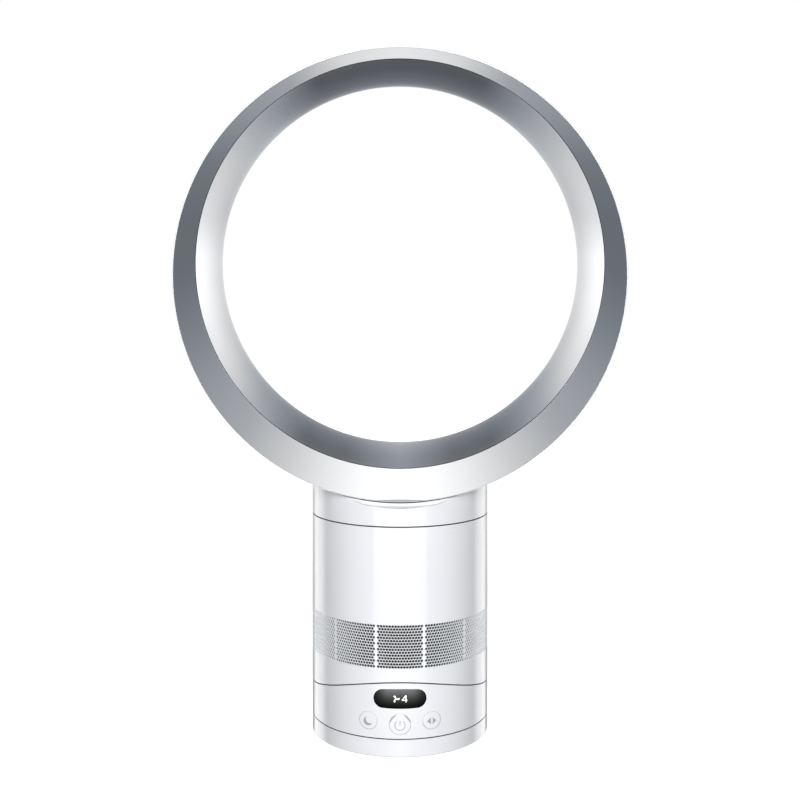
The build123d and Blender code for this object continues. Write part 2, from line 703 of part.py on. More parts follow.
with BuildPart() as motor_bucket_upper:
    with BuildSketch(Plane.XZ):
        with BuildLine():
            Polyline(
                (BUCKET_R - 1, BUCKET_JOIN),
                (BUCKET_R - 6, BUCKET_TOP - 8),
                (BUCKET_R - 20, BUCKET_TOP),
                (0, BUCKET_TOP),
                (0, BUCKET_TOP - BUCKET_WALL),
                (BUCKET_R - 21, BUCKET_TOP - BUCKET_WALL),
                (BUCKET_R - 8, BUCKET_TOP - 9),
                (BUCKET_R - 3, BUCKET_JOIN),
                close=True,
            )
        make_face()
    revolve(axis=Axis.Z)
motor_bucket_upper.part.label = "motor_bucket_upper"

VANES = 11
VANE_LOW = 137.0
VANE_HIGH = 147.0
VANE_TIP_R = HOUSING_R - 0.6

with BuildPart() as diffuser_vanes:
    with BuildSketch(Plane.XY.offset(VANE_LOW)):
        RegularPolygon(BUCKET_R + 1.6, SIDES)
    extrude(amount=VANE_HIGH - VANE_LOW)
    for vane in range(VANES):
        turn = 360 * vane / VANES
        for height, lean in ((VANE_LOW, 0), (VANE_HIGH, 9)):
            with BuildSketch(Plane.XY.offset(height).rotated((0, 0, turn + lean))):
                with Locations(((BUCKET_R + VANE_TIP_R) / 2, 0)):
                    Rectangle(VANE_TIP_R - BUCKET_R, 1.6)
        loft(ruled=True)
    with BuildSketch(Plane.XY.offset(VANE_LOW)):
        RegularPolygon(BUCKET_R + 0.1, SIDES)
    extrude(amount=VANE_HIGH - VANE_LOW, mode=Mode.SUBTRACT)
diffuser_vanes.part.label = "diffuser_vanes"

STATOR_R = 27.0
STATOR_LOW = 139.0
STATOR_HIGH = 153.0
MAGNET_R = 12.0

with BuildPart() as motor_end_bracket:
    with BuildSketch(Plane.XY.offset(HIGH_BEARING_Z)):
        add(hidden_ring(BEARING_R + 0.2, STATOR_R))
    extrude(amount=BEARING_HEIGHT - 2)
    with BuildSketch(Plane.XY.offset(BUCKET_BOTTOM + BUCKET_WALL)):
        with PolarLocations(STATOR_R + 1, 3):
            Rectangle(3, 8)
    extrude(amount=HIGH_BEARING_Z + BEARING_HEIGHT - 2 - BUCKET_BOTTOM - BUCKET_WALL)
motor_end_bracket.part.label = "motor_end_bracket"

with BuildPart() as motor_stator:
    with BuildSketch(Plane.XY.offset(STATOR_LOW)):
        add(hidden_ring(STATOR_R - 4.6, STATOR_R - 1))
        with PolarLocations(18, 6):
            Rectangle(10, 5)
    extrude(amount=STATOR_HIGH - STATOR_LOW)
motor_stator.part.label = "motor_stator"

with BuildPart() as motor_bearings:
    for low in (LOW_BEARING_Z, HIGH_BEARING_Z):
        with BuildSketch(Plane.XY.offset(low)):
            RegularPolygon(BEARING_R - 0.1, 12)
            Circle(SHAFT_R + 0.03, mode=Mode.SUBTRACT)
        extrude(amount=BEARING_HEIGHT - 0.5)
motor_bearings.part.label = "motor_bearings"

with BuildPart() as motor_board:
    with BuildSketch(Plane.XY.offset(HIGH_BEARING_Z + BEARING_HEIGHT - 2)):
        add(hidden_ring(BEARING_R + 3, STATOR_R - 1))
    extrude(amount=1.6)
motor_board.part.label = "motor_board"

COLLAR_R = 66.0
COLLAR_BORE = 61.0
COLLAR_TOP = 182.0
SPIGOT_BOTTOM = 176.0

with BuildPart() as top_collar:
    with BuildSketch(Plane.XY.offset(HOUSING_TOP)):
        add(hidden_ring(COLLAR_BORE, COLLAR_R))
    extrude(amount=COLLAR_TOP - HOUSING_TOP)
top_collar.part.label = "top_collar"

with BuildPart() as loop_gasket:
    with BuildSketch(Plane.XY.offset(COLLAR_TOP)):
        add(hidden_ring(COLLAR_BORE + 1, COLLAR_R - 0.5))
    extrude(amount=NECK_BOTTOM - COLLAR_TOP)
loop_gasket.part.label = "loop_gasket"

# ================================================================ rotor
HUB_LOW = 90.0
BLADES = 9
BLADE_THICKNESS = 1.5
TIP_GAP = 0.8
IMPELLER_LIP_R = 44.0


def hub_radius(height):
    """Return the radius of the impeller's hub at a height."""
    share = (height - HUB_LOW) / (IMPELLER_TOP - HUB_LOW)
    return 9 + (IMPELLER_LIP_R - 9) * share


def shroud_radius(height):
    """Return the inside radius of the flared housing at a height."""
    share = (height - EYE_Z) / (FLARE_TOP - EYE_Z)
    return EYE_R + (HOUSING_R - EYE_R) * share


with BuildPart() as impeller_blade:
    for step in range(3):
        height = HUB_LOW + 1 + step * (IMPELLER_TOP - HUB_LOW - 2) / 2
        near = hub_radius(height) - 2.0
        far = shroud_radius(height) - TIP_GAP
        turn = 62 - 25 * step + 2 * step**2
        with BuildSketch(Plane.XY.offset(height).rotated((0, 0, turn))):
            with Locations(((near + far) / 2, 0)):
                Rectangle(far - near, BLADE_THICKNESS)
    loft(ruled=True)

with BuildPart() as impeller:
    with BuildSketch(Plane.XZ):
        with BuildLine():
            Polyline(
                (SHAFT_R, HUB_LOW),
                (9, HUB_LOW),
                (IMPELLER_LIP_R, IMPELLER_TOP),
                (IMPELLER_LIP_R - 3, IMPELLER_TOP),
                (10, HUB_LOW + 5),
                (9, HUB_LOW + 20),
                (SHAFT_R, HUB_LOW + 20),
                close=True,
            )
        make_face()
    revolve(axis=Axis.Z)
    with PolarLocations(0, BLADES):
        add(impeller_blade.part)
impeller.part.label = "impeller"

with BuildPart() as motor_shaft:
    with BuildSketch(Plane.XY.offset(HUB_LOW - 4)):
        Circle(SHAFT_R)
    extrude(amount=HIGH_BEARING_Z + BEARING_HEIGHT - HUB_LOW + 4)
motor_shaft.part.label = "motor_shaft"

with BuildPart() as rotor_magnet:
    with BuildSketch(Plane.XY.offset(STATOR_LOW)):
        RegularPolygon(MAGNET_R, 12)
        Circle(SHAFT_R, mode=Mode.SUBTRACT)
    extrude(amount=STATOR_HIGH - STATOR_LOW)
rotor_magnet.part.label = "rotor_magnet"

with BuildPart() as impeller_nut:
    with BuildSketch(Plane.XY.offset(HUB_LOW - 4)):
        RegularPolygon(6, 6)
        Circle(SHAFT_R, mode=Mode.SUBTRACT)
    extrude(amount=4)
impeller_nut.part.label = "impeller_nut"

# ================================================================ loop
LOOP_WALL = 2.5
RIM_LIP = 1.5  # the casing is thinner at its front edge
LOOP_AXIS = Axis((0, 0, LOOP_Z), (0, 1, 0))
THROAT_AXIS = Axis((0, 0, THROAT_Z), (0, 1, 0))
SIDE_R = 177.6  # outer wall a third of the way back
SIDE_Y = -32.0
BACK_R = 169.5  # where the outer wall turns in to the rear
BACK_Y = 17.0
REAR_R = 161.0
LIP_TIP_Y = 9.0
LIP_TIP_R = 149.3
LIP_REAR_R = 153.2
LIP_WALL = 1.5
SLOT = 1.3
SPACERS = 10  # small ribs on the lip keep the slot open
SHOULDER_Z = 212.0
SHOULDER_EDGE = 8.0
NECK_WALL = 3.5
FAIRING_TOP = 236.0  # the neck and its duct rise as far as this, up to the loop
DUCT_R = 60.0
DUCT_TAPER_TOP = 198.0
SPIGOT_R = 70.6
SPIGOT_BORE = 67.2
CHAMFER_R = 184.5  # the neck's top is cut by a cone from here to the rim


def about(axis_z, *points):
    """Return the closed face through (y, radius) points about an axis at a height."""
    with BuildSketch() as face:
        with BuildLine():
            Polyline(*[(y, axis_z + radius) for y, radius in points], close=True)
        make_face()
    return face.sketch


with BuildPart() as loop_form:
    with BuildSketch(Plane.YZ):
        with BuildLine():
            front = Line((RIM_Y, LOOP_Z), (RIM_Y, LOOP_Z + RIM_R))
            side = Line(front @ 1, (SIDE_Y, LOOP_Z + SIDE_R))
            back = TangentArc(side @ 1, (BACK_Y, LOOP_Z + BACK_R), tangent=side % 1)
            corner = TangentArc(back @ 1, (LOOP_REAR_Y, LOOP_Z + REAR_R), tangent=back % 1)
            Polyline(corner @ 1, (LOOP_REAR_Y, LOOP_Z), front @ 0)
        make_face()
    revolve(axis=LOOP_AXIS)

with BuildPart() as loop_neck:
    with BuildSketch(Plane.XY.offset(NECK_BOTTOM)):
        Circle(BODY_R)
    extrude(amount=SHOULDER_Z - NECK_BOTTOM)
    chamfer(loop_neck.edges().group_by(Axis.Z)[-1], SHOULDER_EDGE / 2)
    with BuildSketch(Plane.YZ):
        add(about(LOOP_Z, (CREST_Y - 1, 0), (CREST_Y - 1, CHAMFER_R), (RIM_Y, RIM_R), (RIM_Y, 0)))
    revolve(axis=LOOP_AXIS, mode=Mode.SUBTRACT)
    with BuildSketch(Plane.XY.offset(SHOULDER_Z - SHOULDER_EDGE)):
        Circle(DUCT_R + NECK_WALL)
        with Locations((0, LOOP_REAR_Y + 50)):
            Rectangle(200, 100, mode=Mode.SUBTRACT)
    extrude(amount=FAIRING_TOP - SHOULDER_Z + SHOULDER_EDGE)
    add(loop_form.part, mode=Mode.SUBTRACT)
    with BuildSketch(Plane.XY.offset(SPIGOT_BOTTOM)):
        RegularPolygon(SPIGOT_R, 2 * SIDES)
    extrude(amount=NECK_BOTTOM - SPIGOT_BOTTOM)
    with BuildSketch(Plane.XY.offset(SPIGOT_BOTTOM)):
        RegularPolygon(SPIGOT_BORE, SIDES)
    extrude(amount=NECK_BOTTOM + 2 - SPIGOT_BOTTOM, mode=Mode.SUBTRACT)
    with BuildSketch(Plane.XY.offset(NECK_BOTTOM + 2)):
        RegularPolygon(SPIGOT_BORE, SIDES)
    with BuildSketch(Plane.XY.offset(DUCT_TAPER_TOP)):
        RegularPolygon(DUCT_R, SIDES)
    loft(ruled=True, mode=Mode.SUBTRACT)
    with BuildSketch(Plane.XY.offset(DUCT_TAPER_TOP)):
        RegularPolygon(DUCT_R, SIDES)
        with Locations((0, LOOP_REAR_Y - NECK_WALL + 50)):
            Rectangle(200, 100, mode=Mode.SUBTRACT)
    extrude(amount=FAIRING_TOP - DUCT_TAPER_TOP, mode=Mode.SUBTRACT)
loop_neck.part.label = "loop_neck"

with BuildPart() as loop_outer_casing:
    add(loop_form.part)
    with BuildSketch(Plane.XY.offset(DUCT_TAPER_TOP)):
        RegularPolygon(DUCT_R, SIDES)
        with Locations((0, LOOP_REAR_Y - NECK_WALL + 50)):
            Rectangle(200, 100, mode=Mode.SUBTRACT)
    extrude(amount=FAIRING_TOP - DUCT_TAPER_TOP, mode=Mode.SUBTRACT)
    with BuildSketch(Plane.YZ):
        add(
            about(
                LOOP_Z,
                (RIM_Y - 1, 0),
                (RIM_Y - 1, RIM_R - RIM_LIP),
                (SIDE_Y, SIDE_R - LOOP_WALL),
                (BACK_Y - 2, BACK_R - LOOP_WALL),
                (LOOP_REAR_Y - LOOP_WALL, REAR_R - 1),
                (LOOP_REAR_Y - LOOP_WALL, 0),
            )
        )
    revolve(axis=LOOP_AXIS, mode=Mode.SUBTRACT)
    with BuildSketch(Plane.YZ):
        add(about(THROAT_Z, (0, 0), (0, LIP_REAR_R), (LOOP_REAR_Y + 1, LIP_REAR_R), (LOOP_REAR_Y + 1, 0)))
    revolve(axis=THROAT_AXIS, mode=Mode.SUBTRACT)
    with BuildSketch(Plane.YZ):
        add(
            about(
                THROAT_Z,
                (LIP_TIP_Y, LIP_TIP_R),
                (LOOP_REAR_Y - 3, LIP_TIP_R + 1.4),
                (LOOP_REAR_Y, LIP_REAR_R + 0.4),
                (LOOP_REAR_Y - LOOP_WALL, LIP_REAR_R + 0.4),
                (LIP_TIP_Y, LIP_TIP_R + LIP_WALL),
            )
        )
    revolve(axis=THROAT_AXIS)
    with BuildSketch(Plane.XZ.offset(-LIP_TIP_Y - 0.5)):
        with Locations((0, THROAT_Z)):
            with PolarLocations(LIP_TIP_R + LIP_WALL + SLOT / 2, SPACERS, start_angle=18):
                Rectangle(SLOT - 0.1, 2)
    extrude(amount=-4)
loop_outer_casing.part.label = "loop_outer_casing"

NOSE_R = LIP_TIP_R + LIP_WALL + SLOT  # inner casing where the lip faces it
NOSE_Y = LIP_TIP_Y
INNER_WALL = 2.0
THROAT_Y = 0.0
GROOVE = 0.4  # hairline groove between bevel and diffuser
DIFFUSER_BULGE = 1.0  # rise of the diffuser's arc over its chord
INNER_TAIL_Y = 18.0

with BuildPart() as loop_inner_casing:
    with BuildSketch(Plane.YZ):
        with BuildLine():
            crest = (CREST_Y + 0.4, THROAT_Z + CREST_R - GROOVE)
            bulge_r = (CREST_R - GROOVE + THROAT_R) / 2 - DIFFUSER_BULGE
            bulge = ((CREST_Y + THROAT_Y) / 2, THROAT_Z + bulge_r)
            diffuser = ThreePointArc(crest, bulge, (THROAT_Y, THROAT_Z + THROAT_R))
            nose = TangentArc(diffuser @ 1, (NOSE_Y, THROAT_Z + NOSE_R), tangent=(1, 0))
            Polyline(
                nose @ 1,
                (INNER_TAIL_Y, THROAT_Z + NOSE_R + 3.0),
                (INNER_TAIL_Y, THROAT_Z + NOSE_R + 3.0 + INNER_WALL),
                (THROAT_Y, THROAT_Z + THROAT_R + INNER_WALL + 1),
                (CREST_Y + 4, THROAT_Z + CREST_R + INNER_WALL - 0.8),
                (CREST_Y + 2.5, THROAT_Z + CREST_R),
                (CREST_Y + 1.0, THROAT_Z + CREST_R),
                crest,
            )
        make_face()
    revolve(axis=THROAT_AXIS)
loop_inner_casing.part.label = "loop_inner_casing"

BEZEL_WALL = 2.0


def eccentric_disc(plane_y, radius, axis_z):
    """Return a disc in the vertical plane at y, about an axis at a height."""
    with BuildSketch(Plane.XZ.offset(-plane_y)) as disc:
        with Locations((0, axis_z)):
            Circle(radius)
    return disc.sketch


with BuildPart() as loop_front_bezel:
    loft(
        [
            eccentric_disc(CREST_Y, CREST_R + 0.2, THROAT_Z).face(),
            eccentric_disc(RIM_Y, BEVEL_R, LOOP_Z).face(),
        ],
        ruled=True,
    )
    loft(
        [
            eccentric_disc(RIM_Y, BEVEL_R, LOOP_Z).face(),
            eccentric_disc(RIM_Y + 4, BEVEL_R - 0.6, LOOP_Z).face(),
        ],
        ruled=True,
    )
    loft(
        [
            eccentric_disc(CREST_Y - 1, CREST_R, THROAT_Z).face(),
            eccentric_disc(CREST_Y + BEZEL_WALL, CREST_R, THROAT_Z).face(),
            eccentric_disc(RIM_Y + BEZEL_WALL, BEVEL_R - 2.4, LOOP_Z).face(),
            eccentric_disc(RIM_Y + 5, BEVEL_R - 2.6, LOOP_Z).face(),
        ],
        ruled=True,
        mode=Mode.SUBTRACT,
    )
loop_front_bezel.part.label = "loop_front_bezel"

# ================================================================ output
os.makedirs("parts", exist_ok=True)
PIECES = (
    foot_shell, foot_pad_ring, cord_grommet, gear_sector, foot_spindle, spindle_retainer,
    turntable_washer, lower_body_shell, lower_chassis, tilt_cradle, tilt_friction_pads,
    cradle_screws, display_lens, display_module, display_board, control_board, tact_switches,
    oscillation_motor, oscillation_motor_screws, oscillation_pinion, power_key, timer_key,
    swing_key, main_body_casing, tilt_shoe, tilt_retainers, retainer_screws, intake_deck,
    intake_mesh, inlet_foam, impeller_housing, housing_mounts, duct_seal, motor_bucket_lower,
    motor_bucket_upper, diffuser_vanes, motor_end_bracket, motor_stator, motor_bearings,
    motor_board, top_collar, loop_gasket, impeller, motor_shaft, rotor_magnet, impeller_nut,
    loop_neck, loop_outer_casing, loop_inner_casing, loop_front_bezel,
)
for piece in PIECES:
    export_step(piece.part, f"parts/{piece.part.label}.step")
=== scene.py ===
"""A bladeless desk fan, dressed on its CAD frame with smooth skins, real perforations and finishes.

The fan stands on the floor at z = 0 and faces -Y. Sizes below are in millimetres and become metres
when a mesh is made. The loop is built on two axes: its outer circles lie about one height and its
inner circles about a slightly higher one, which makes the bevel wide below and narrow above.
"""

import logging
from dataclasses import dataclass, field
from enum import Enum
from math import cos, pi, radians, sin

import bmesh
import bpy
import numpy as np
from numpy.typing import NDArray
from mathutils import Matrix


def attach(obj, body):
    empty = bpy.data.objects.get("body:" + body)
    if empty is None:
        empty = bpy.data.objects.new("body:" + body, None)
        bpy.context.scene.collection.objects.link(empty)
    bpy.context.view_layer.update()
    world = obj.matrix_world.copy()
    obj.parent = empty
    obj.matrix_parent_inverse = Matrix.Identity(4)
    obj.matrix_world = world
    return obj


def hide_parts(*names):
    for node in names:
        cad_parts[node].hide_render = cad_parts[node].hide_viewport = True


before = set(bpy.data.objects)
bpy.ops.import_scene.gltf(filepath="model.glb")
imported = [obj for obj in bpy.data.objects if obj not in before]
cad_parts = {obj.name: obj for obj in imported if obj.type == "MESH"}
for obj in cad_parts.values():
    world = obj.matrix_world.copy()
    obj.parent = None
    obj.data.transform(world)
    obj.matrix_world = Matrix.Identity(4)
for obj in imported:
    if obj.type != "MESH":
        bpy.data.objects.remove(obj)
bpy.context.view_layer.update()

Array = NDArray[np.float64]
Colour = tuple[float, float, float]

MM = 0.001
TURNS = 384  # points round each full circle
CRISP = 32.0  # edges that turn by more than this many degrees stay crisp
MERGE = 2e-6  # points closer than this many metres become one
ON_WALL = 0.02  # a corner this close to a round wall, in millimetres, counts as on it
FACING = 0.98  # and its face has to look outwards by this much, as a cosine
TINY = 1e-6  # keeps a division away from nought
log = logging.getLogger("bladeless_fan")


# ---------------------------------------------------------------- meshes


@dataclass
class Surface:
    """Points in millimetres and the four-sided faces between them."""

    points: Array
    faces: NDArray[np.int64]

    @classmethod
    def grid(cls, points: Array, wrap_rows: bool = False, wrap_columns: bool = False) -> "Surface":
        """Join a grid of points into faces.

        Args:
            points: An array of rows by columns by three.
            wrap_rows: Whether the last row meets the first.
            wrap_columns: Whether the last column meets the first.

        Returns:
            The surface, with one face between each four neighbours of the grid.
        """
        rows, columns = points.shape[:2]
        index = np.arange(rows * columns).reshape(rows, columns)
        if wrap_rows:
            index = np.vstack([index, index[:1]])
        if wrap_columns:
            index = np.hstack([index, index[:, :1]])
        corners = (index[:-1, :-1], index[:-1, 1:], index[1:, 1:], index[1:, :-1])
        return cls(points.reshape(-1, 3), np.stack(corners, axis=-1).reshape(-1, 4))

    def with_(self, *others: "Surface") -> "Surface":
        """Join this surface and others into one.

        Args:
            others: The surfaces to add.

        Returns:
            The joined surface.
        """
        points, faces, start = [self.points], [self.faces], len(self.points)
        for other in others:
            points.append(other.points)
            faces.append(other.faces + start)
            start += len(other.points)
        return Surface(np.vstack(points), np.vstack(faces))

    def mesh(self, name: str, turn_out: bool = True) -> bpy.types.Mesh:
        """Make a Blender mesh in metres, with its seams and poles closed.

        Args:
            name: The mesh's name.
            turn_out: Whether to work out which way is outwards. A sheet keeps its own order.

        Returns:
            The mesh, shaded smooth.
        """
        used, faces = np.unique(self.faces, return_inverse=True)
        faces = faces.reshape(-1, 4)
        mesh = bpy.data.meshes.new(name)
        mesh.vertices.add(len(used))
        mesh.vertices.foreach_set("co", (self.points[used] * MM).ravel())
        mesh.loops.add(faces.size)
        mesh.loops.foreach_set("vertex_index", faces.ravel())
        mesh.polygons.add(len(faces))
        mesh.polygons.foreach_set("loop_start", np.arange(0, faces.size, 4))
        mesh.update(calc_edges=True)
        shape = bmesh.new()
        shape.from_mesh(mesh)
        bmesh.ops.remove_doubles(shape, verts=shape.verts, dist=MERGE)
        if turn_out:
            bmesh.ops.recalc_face_normals(shape, faces=shape.faces)
        shape.to_mesh(mesh)
        shape.free()
        mesh.shade_smooth()
        mesh.set_sharp_from_angle(angle=radians(CRISP))
        return mesh


def soften(corners: Array, reach: Array, steps: int = 6) -> Array:
    """Round the corners of a closed section.

    A corner B becomes the parabola (1-t)(1-t) P + 2 t (1-t) B + t t Q, where P and Q lie on its two
    sides, as far from B as the corner's reach.

    Args:
        corners: One row for each corner, in any number of dimensions.
        reach: One distance for each corner; nought keeps it sharp.
        steps: Points along each rounding.

    Returns:
        The rounded section's points, in order.
    """
    before = np.roll(corners, 1, axis=0) - corners
    after = np.roll(corners, -1, axis=0) - corners
    reach = np.asarray(reach, dtype=float)[:, None]
    start = corners + before / np.linalg.norm(before, axis=1, keepdims=True) * reach
    end = corners + after / np.linalg.norm(after, axis=1, keepdims=True) * reach
    t = np.linspace(0.0, 1.0, steps)[None, :, None]
    curve = (1 - t) ** 2 * start[:, None] + 2 * t * (1 - t) * corners[:, None] + t**2 * end[:, None]
    return curve.reshape(-1, corners.shape[1])


def held(section: Array, guard: float = 0.35) -> Array:
    """Add points close to both ends of each long side, so that flat faces stay flat when shaded.

    On a side from P to Q, longer than 4 g, they lie at P + g u and Q - g u, with u along the side.

    Args:
        section: A closed section's points.
        guard: The distance g.

    Returns:
        The section with the points added.
    """
    side = np.roll(section, -1, axis=0) - section
    length = np.linalg.norm(side, axis=1, keepdims=True)
    step = side / np.maximum(length, 1e-9) * guard
    rows = np.stack([section, section + step, section + side - step], axis=1)
    wide = length > 4 * guard
    keep = np.hstack([np.ones_like(wide), wide, wide])
    return rows[keep]


def tangent_arc(start: Array, end: Array, along: Array, steps: int) -> Array:
    """Run an arc from one point to another that leaves the first in a given direction.

    The centre lies on the normal at the start, at the distance d.d / 2 d.n, where d is the chord
    and n the unit normal; the points then turn about it from the start to the end.

    Args:
        start: First point, in the plane.
        end: Last point.
        along: Direction of travel at the start.
        steps: How many points, both ends included.

    Returns:
        The points, one row each.
    """
    chord = end - start
    normal = np.array([-along[1], along[0]]) / np.linalg.norm(along)
    radius = chord @ chord / (2 * chord @ normal)
    centre = start + normal * radius
    first, last = start - centre, end - centre
    turn = np.arctan2(first[0] * last[1] - first[1] * last[0], first @ last)
    angle = np.linspace(0.0, turn, steps)
    x = first[0] * np.cos(angle) - first[1] * np.sin(angle)
    y = first[0] * np.sin(angle) + first[1] * np.cos(angle)
    return centre + np.stack([x, y], axis=1)


def full_turn(steps: int = TURNS) -> tuple[Array, Array]:
    """Return the cosines and sines of angles spaced evenly round a circle."""
    angle = np.linspace(0.0, 2 * pi, steps, endpoint=False)
    return np.cos(angle), np.sin(angle)


def swept_rings(section: Array) -> Surface:
    """Sweep a closed section round circles that each have a centre height of their own.

    A row (y, r, h) of the section gives the circle (r cos a, y, h + r sin a) for a full turn of a.

    Args:
        section: Rows of depth y, radius r and centre height h.

    Returns:
        A closed ring.
    """
    across, up = full_turn()
    depth, radius, height = (column[:, None] for column in held(section).T)
    x = radius * across
    z = height + radius * up
    return Surface.grid(np.stack([x, depth + 0 * x, z], axis=-1), wrap_rows=True, wrap_columns=True)


def on_body(flat: Array, depth: Array | float, radius: float) -> Array:
    """Lay flat points on the front of the round body.

    A point (x, z) goes to y = -(sqrt(R R - x x) - depth), so it lies depth behind the skin.

    Args:
        flat: Points as (x, z) in the last axis.
        depth: Distance behind the skin; a negative one stands proud.
        radius: The body's radius R.

    Returns:
        The same points as (x, y, z).
    """
    x, z = flat[..., 0], flat[..., 1]
    return np.stack([x, depth - np.sqrt(radius**2 - x**2), z], axis=-1)


def linked(name: str, data: bpy.types.ID) -> bpy.types.Object:
    """Put a mesh, camera or lamp into the scene.

    Args:
        name: The object's name.
        data: What it shows or does.

    Returns:
        The new object, at the origin.
    """
    thing = bpy.data.objects.new(name, data)
    bpy.context.scene.collection.objects.link(thing)
    return thing


def piece(
    name: str,
    mesh: bpy.types.Mesh,
    body: str,
    finish: bpy.types.Material,
    replaces: tuple[str, ...] = (),
) -> bpy.types.Object:
    """Put a mesh into the scene as a piece that rides on a body.

    Args:
        name: The piece's name.
        mesh: Its mesh, in place and in metres.
        body: The CAD body that it moves with.
        finish: Its material.
        replaces: CAD nodes that it stands for.

    Returns:
        The new object, at the origin.
    """
    thing = linked(name, mesh)
    mesh.materials.clear()
    mesh.materials.append(finish)
    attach(thing, body)
    if replaces:
        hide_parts(*replaces)
    log.info("%-24s rides %-12s %7d faces", name, body, len(mesh.polygons))
    return thing


def cut(mesh: bpy.types.Mesh, *tools: bpy.types.Mesh) -> bpy.types.Mesh:
    """Cut tool shapes out of a mesh.

    Args:
        mesh: The closed mesh to cut.
        tools: Closed meshes to take away.

    Returns:
        The cut mesh; the helpers are removed.
    """
    work = linked("work", mesh)
    helpers = [linked("tool", tool) for tool in tools]
    for helper in helpers:
        modifier = work.modifiers.new("cut", "BOOLEAN")
        modifier.operation = "DIFFERENCE"
        modifier.solver = "EXACT"
        modifier.object = helper
    bpy.context.view_layer.update()
    graph = bpy.context.evaluated_depsgraph_get()
    result = bpy.data.meshes.new_from_object(work.evaluated_get(graph))
    for thing in (work, *helpers):
        bpy.data.objects.remove(thing)
    result.name = mesh.name
    result.shade_smooth()
    result.set_sharp_from_angle(angle=radians(CRISP))
    return result


def read(items: bpy.types.bpy_prop_collection, name: str, width: int = 1,
         kind: type = float) -> NDArray:
    """Read one property of all a mesh's points, corners or faces.

    Args:
        items: The points, corners or faces.
        name: The property's name.
        width: How many numbers each one has.
        kind: The type of the numbers.

    Returns:
        The numbers, with one row each where the width is over 1.
    """
    values = np.zeros(len(items) * width, dtype=kind)
    items.foreach_get(name, values)
    return values.reshape(-1, width) if width > 1 else values


def round_normals(mesh: bpy.types.Mesh, radius: float) -> None:
    """Give the corners on a round wall the normal of the true cylinder.

    A corner gets (x, y, 0) / r where it lies at the radius and its face looks outwards, and keeps
    its own normal elsewhere, so holes cut in the wall leave no dents in its gloss.

    Args:
        mesh: The mesh, in metres.
        radius: The wall's radius in millimetres.
    """
    points = read(mesh.vertices, "co", 3) / MM
    corner = read(mesh.loops, "vertex_index", kind=np.int32)
    sides = read(mesh.polygons, "loop_total", kind=np.int32)
    face_normal = np.repeat(read(mesh.polygons, "normal", 3), sides, axis=0)
    at = points[corner] * (1.0, 1.0, 0.0)
    length = np.linalg.norm(at, axis=1)
    outward = at / np.maximum(length, TINY)[:, None]
    looks_out = (outward * face_normal).sum(axis=1) > FACING
    on_wall = (np.abs(length - radius) < ON_WALL) & looks_out
    mesh.normals_split_custom_set(np.where(on_wall[:, None], outward, 0.0).tolist())


# ---------------------------------------------------------------- materials


class Graph:
    """A node tree that is written in short lines."""

    def __init__(self, tree: bpy.types.NodeTree) -> None:
        """Keep the tree to work on."""
        self.tree = tree

    def node(self, kind: str, feeds: dict | None = None, **settings: object) -> bpy.types.Node:
        """Add a node.

        Args:
            kind: The node's type name.
            feeds: Values or sockets for its inputs, by name or number.
            settings: Properties of the node itself.

        Returns:
            The node.
        """
        made = self.tree.nodes.new(kind)
        for name, value in settings.items():
            setattr(made, name, value)
        for key, value in (feeds or {}).items():
            self.put(value, made.inputs[key])
        return made

    def put(self, value: object, into: bpy.types.NodeSocket) -> None:
        """Link a socket into an input, or set the input to a value.

        Args:
            value: The socket or the value.
            into: The input.
        """
        if isinstance(value, bpy.types.NodeSocket):
            self.tree.links.new(value, into)
        else:
            into.default_value = value

    def maths(self, operation: str, first: object, second: object = 0.0, third: object = 0.0,
              clamp: bool = False) -> bpy.types.NodeSocket:
        """Add a Math node and return its value."""
        feeds = {0: first, 1: second, 2: third}
        return self.node("ShaderNodeMath", feeds, operation=operation, use_clamp=clamp).outputs[0]

    def spread(self, value: object, low: float, high: float, to_low: float = 0.0,
               to_high: float = 1.0, kind: str = "SMOOTHSTEP") -> bpy.types.NodeSocket:
        """Map one range of a value to another, clamped, and return it."""
        feeds = {0: value, 1: low, 2: high, 3: to_low, 4: to_high}
        return self.node("ShaderNodeMapRange", feeds, interpolation_type=kind).outputs[0]

    def blend(self, factor: object, first: object, second: object,
              how: str = "MIX") -> bpy.types.NodeSocket:
        """Mix two colours.

        Args:
            factor: How much of the second is mixed in.
            first: A colour or a socket.
            second: Another.
            how: The blend type's name.

        Returns:
            The mixed colour.
        """
        node = self.node("ShaderNodeMix", {0: factor}, data_type="RGBA", blend_type=how)
        for key, colour in ((6, first), (7, second)):
            known = not isinstance(colour, bpy.types.NodeSocket)
            self.put((*colour, 1.0)[:4] if known else colour, node.inputs[key])
        return node.outputs[2]

    def fade(self, share: object, first: object, second: object) -> bpy.types.NodeSocket:
        """Return first where the share is 0, second where it is 1, and between them elsewhere."""
        return self.node("ShaderNodeMix", {0: share, 2: first, 3: second}).outputs[0]

    def place(self) -> bpy.types.NodeSocket:
        """Return the point's place on the object, in metres."""
        return self.node("ShaderNodeTexCoord").outputs["Object"]

    def noise(self, scale: object, detail: float) -> bpy.types.NodeSocket:
        """Add a noise over the object and return its value."""
        feeds = {"Vector": self.place(), "Scale": scale, "Detail": detail}
        return self.node("ShaderNodeTexNoise", feeds).outputs[0]

    def bump(self, strength: float, distance: object, height: object) -> bpy.types.NodeSocket:
        """Raise the surface by a height and return its normal."""
        feeds = {"Strength": strength, "Distance": distance, "Height": height}
        return self.node("ShaderNodeBump", feeds).outputs[0]

    def shade(self, colour: object, level: bpy.types.NodeSocket) -> bpy.types.NodeSocket:
        """Multiply a colour by a level and return the result."""
        grey = self.node("ShaderNodeCombineColor", {0: level, 1: level, 2: level})
        return self.blend(1.0, colour, grey.outputs[0], "MULTIPLY")


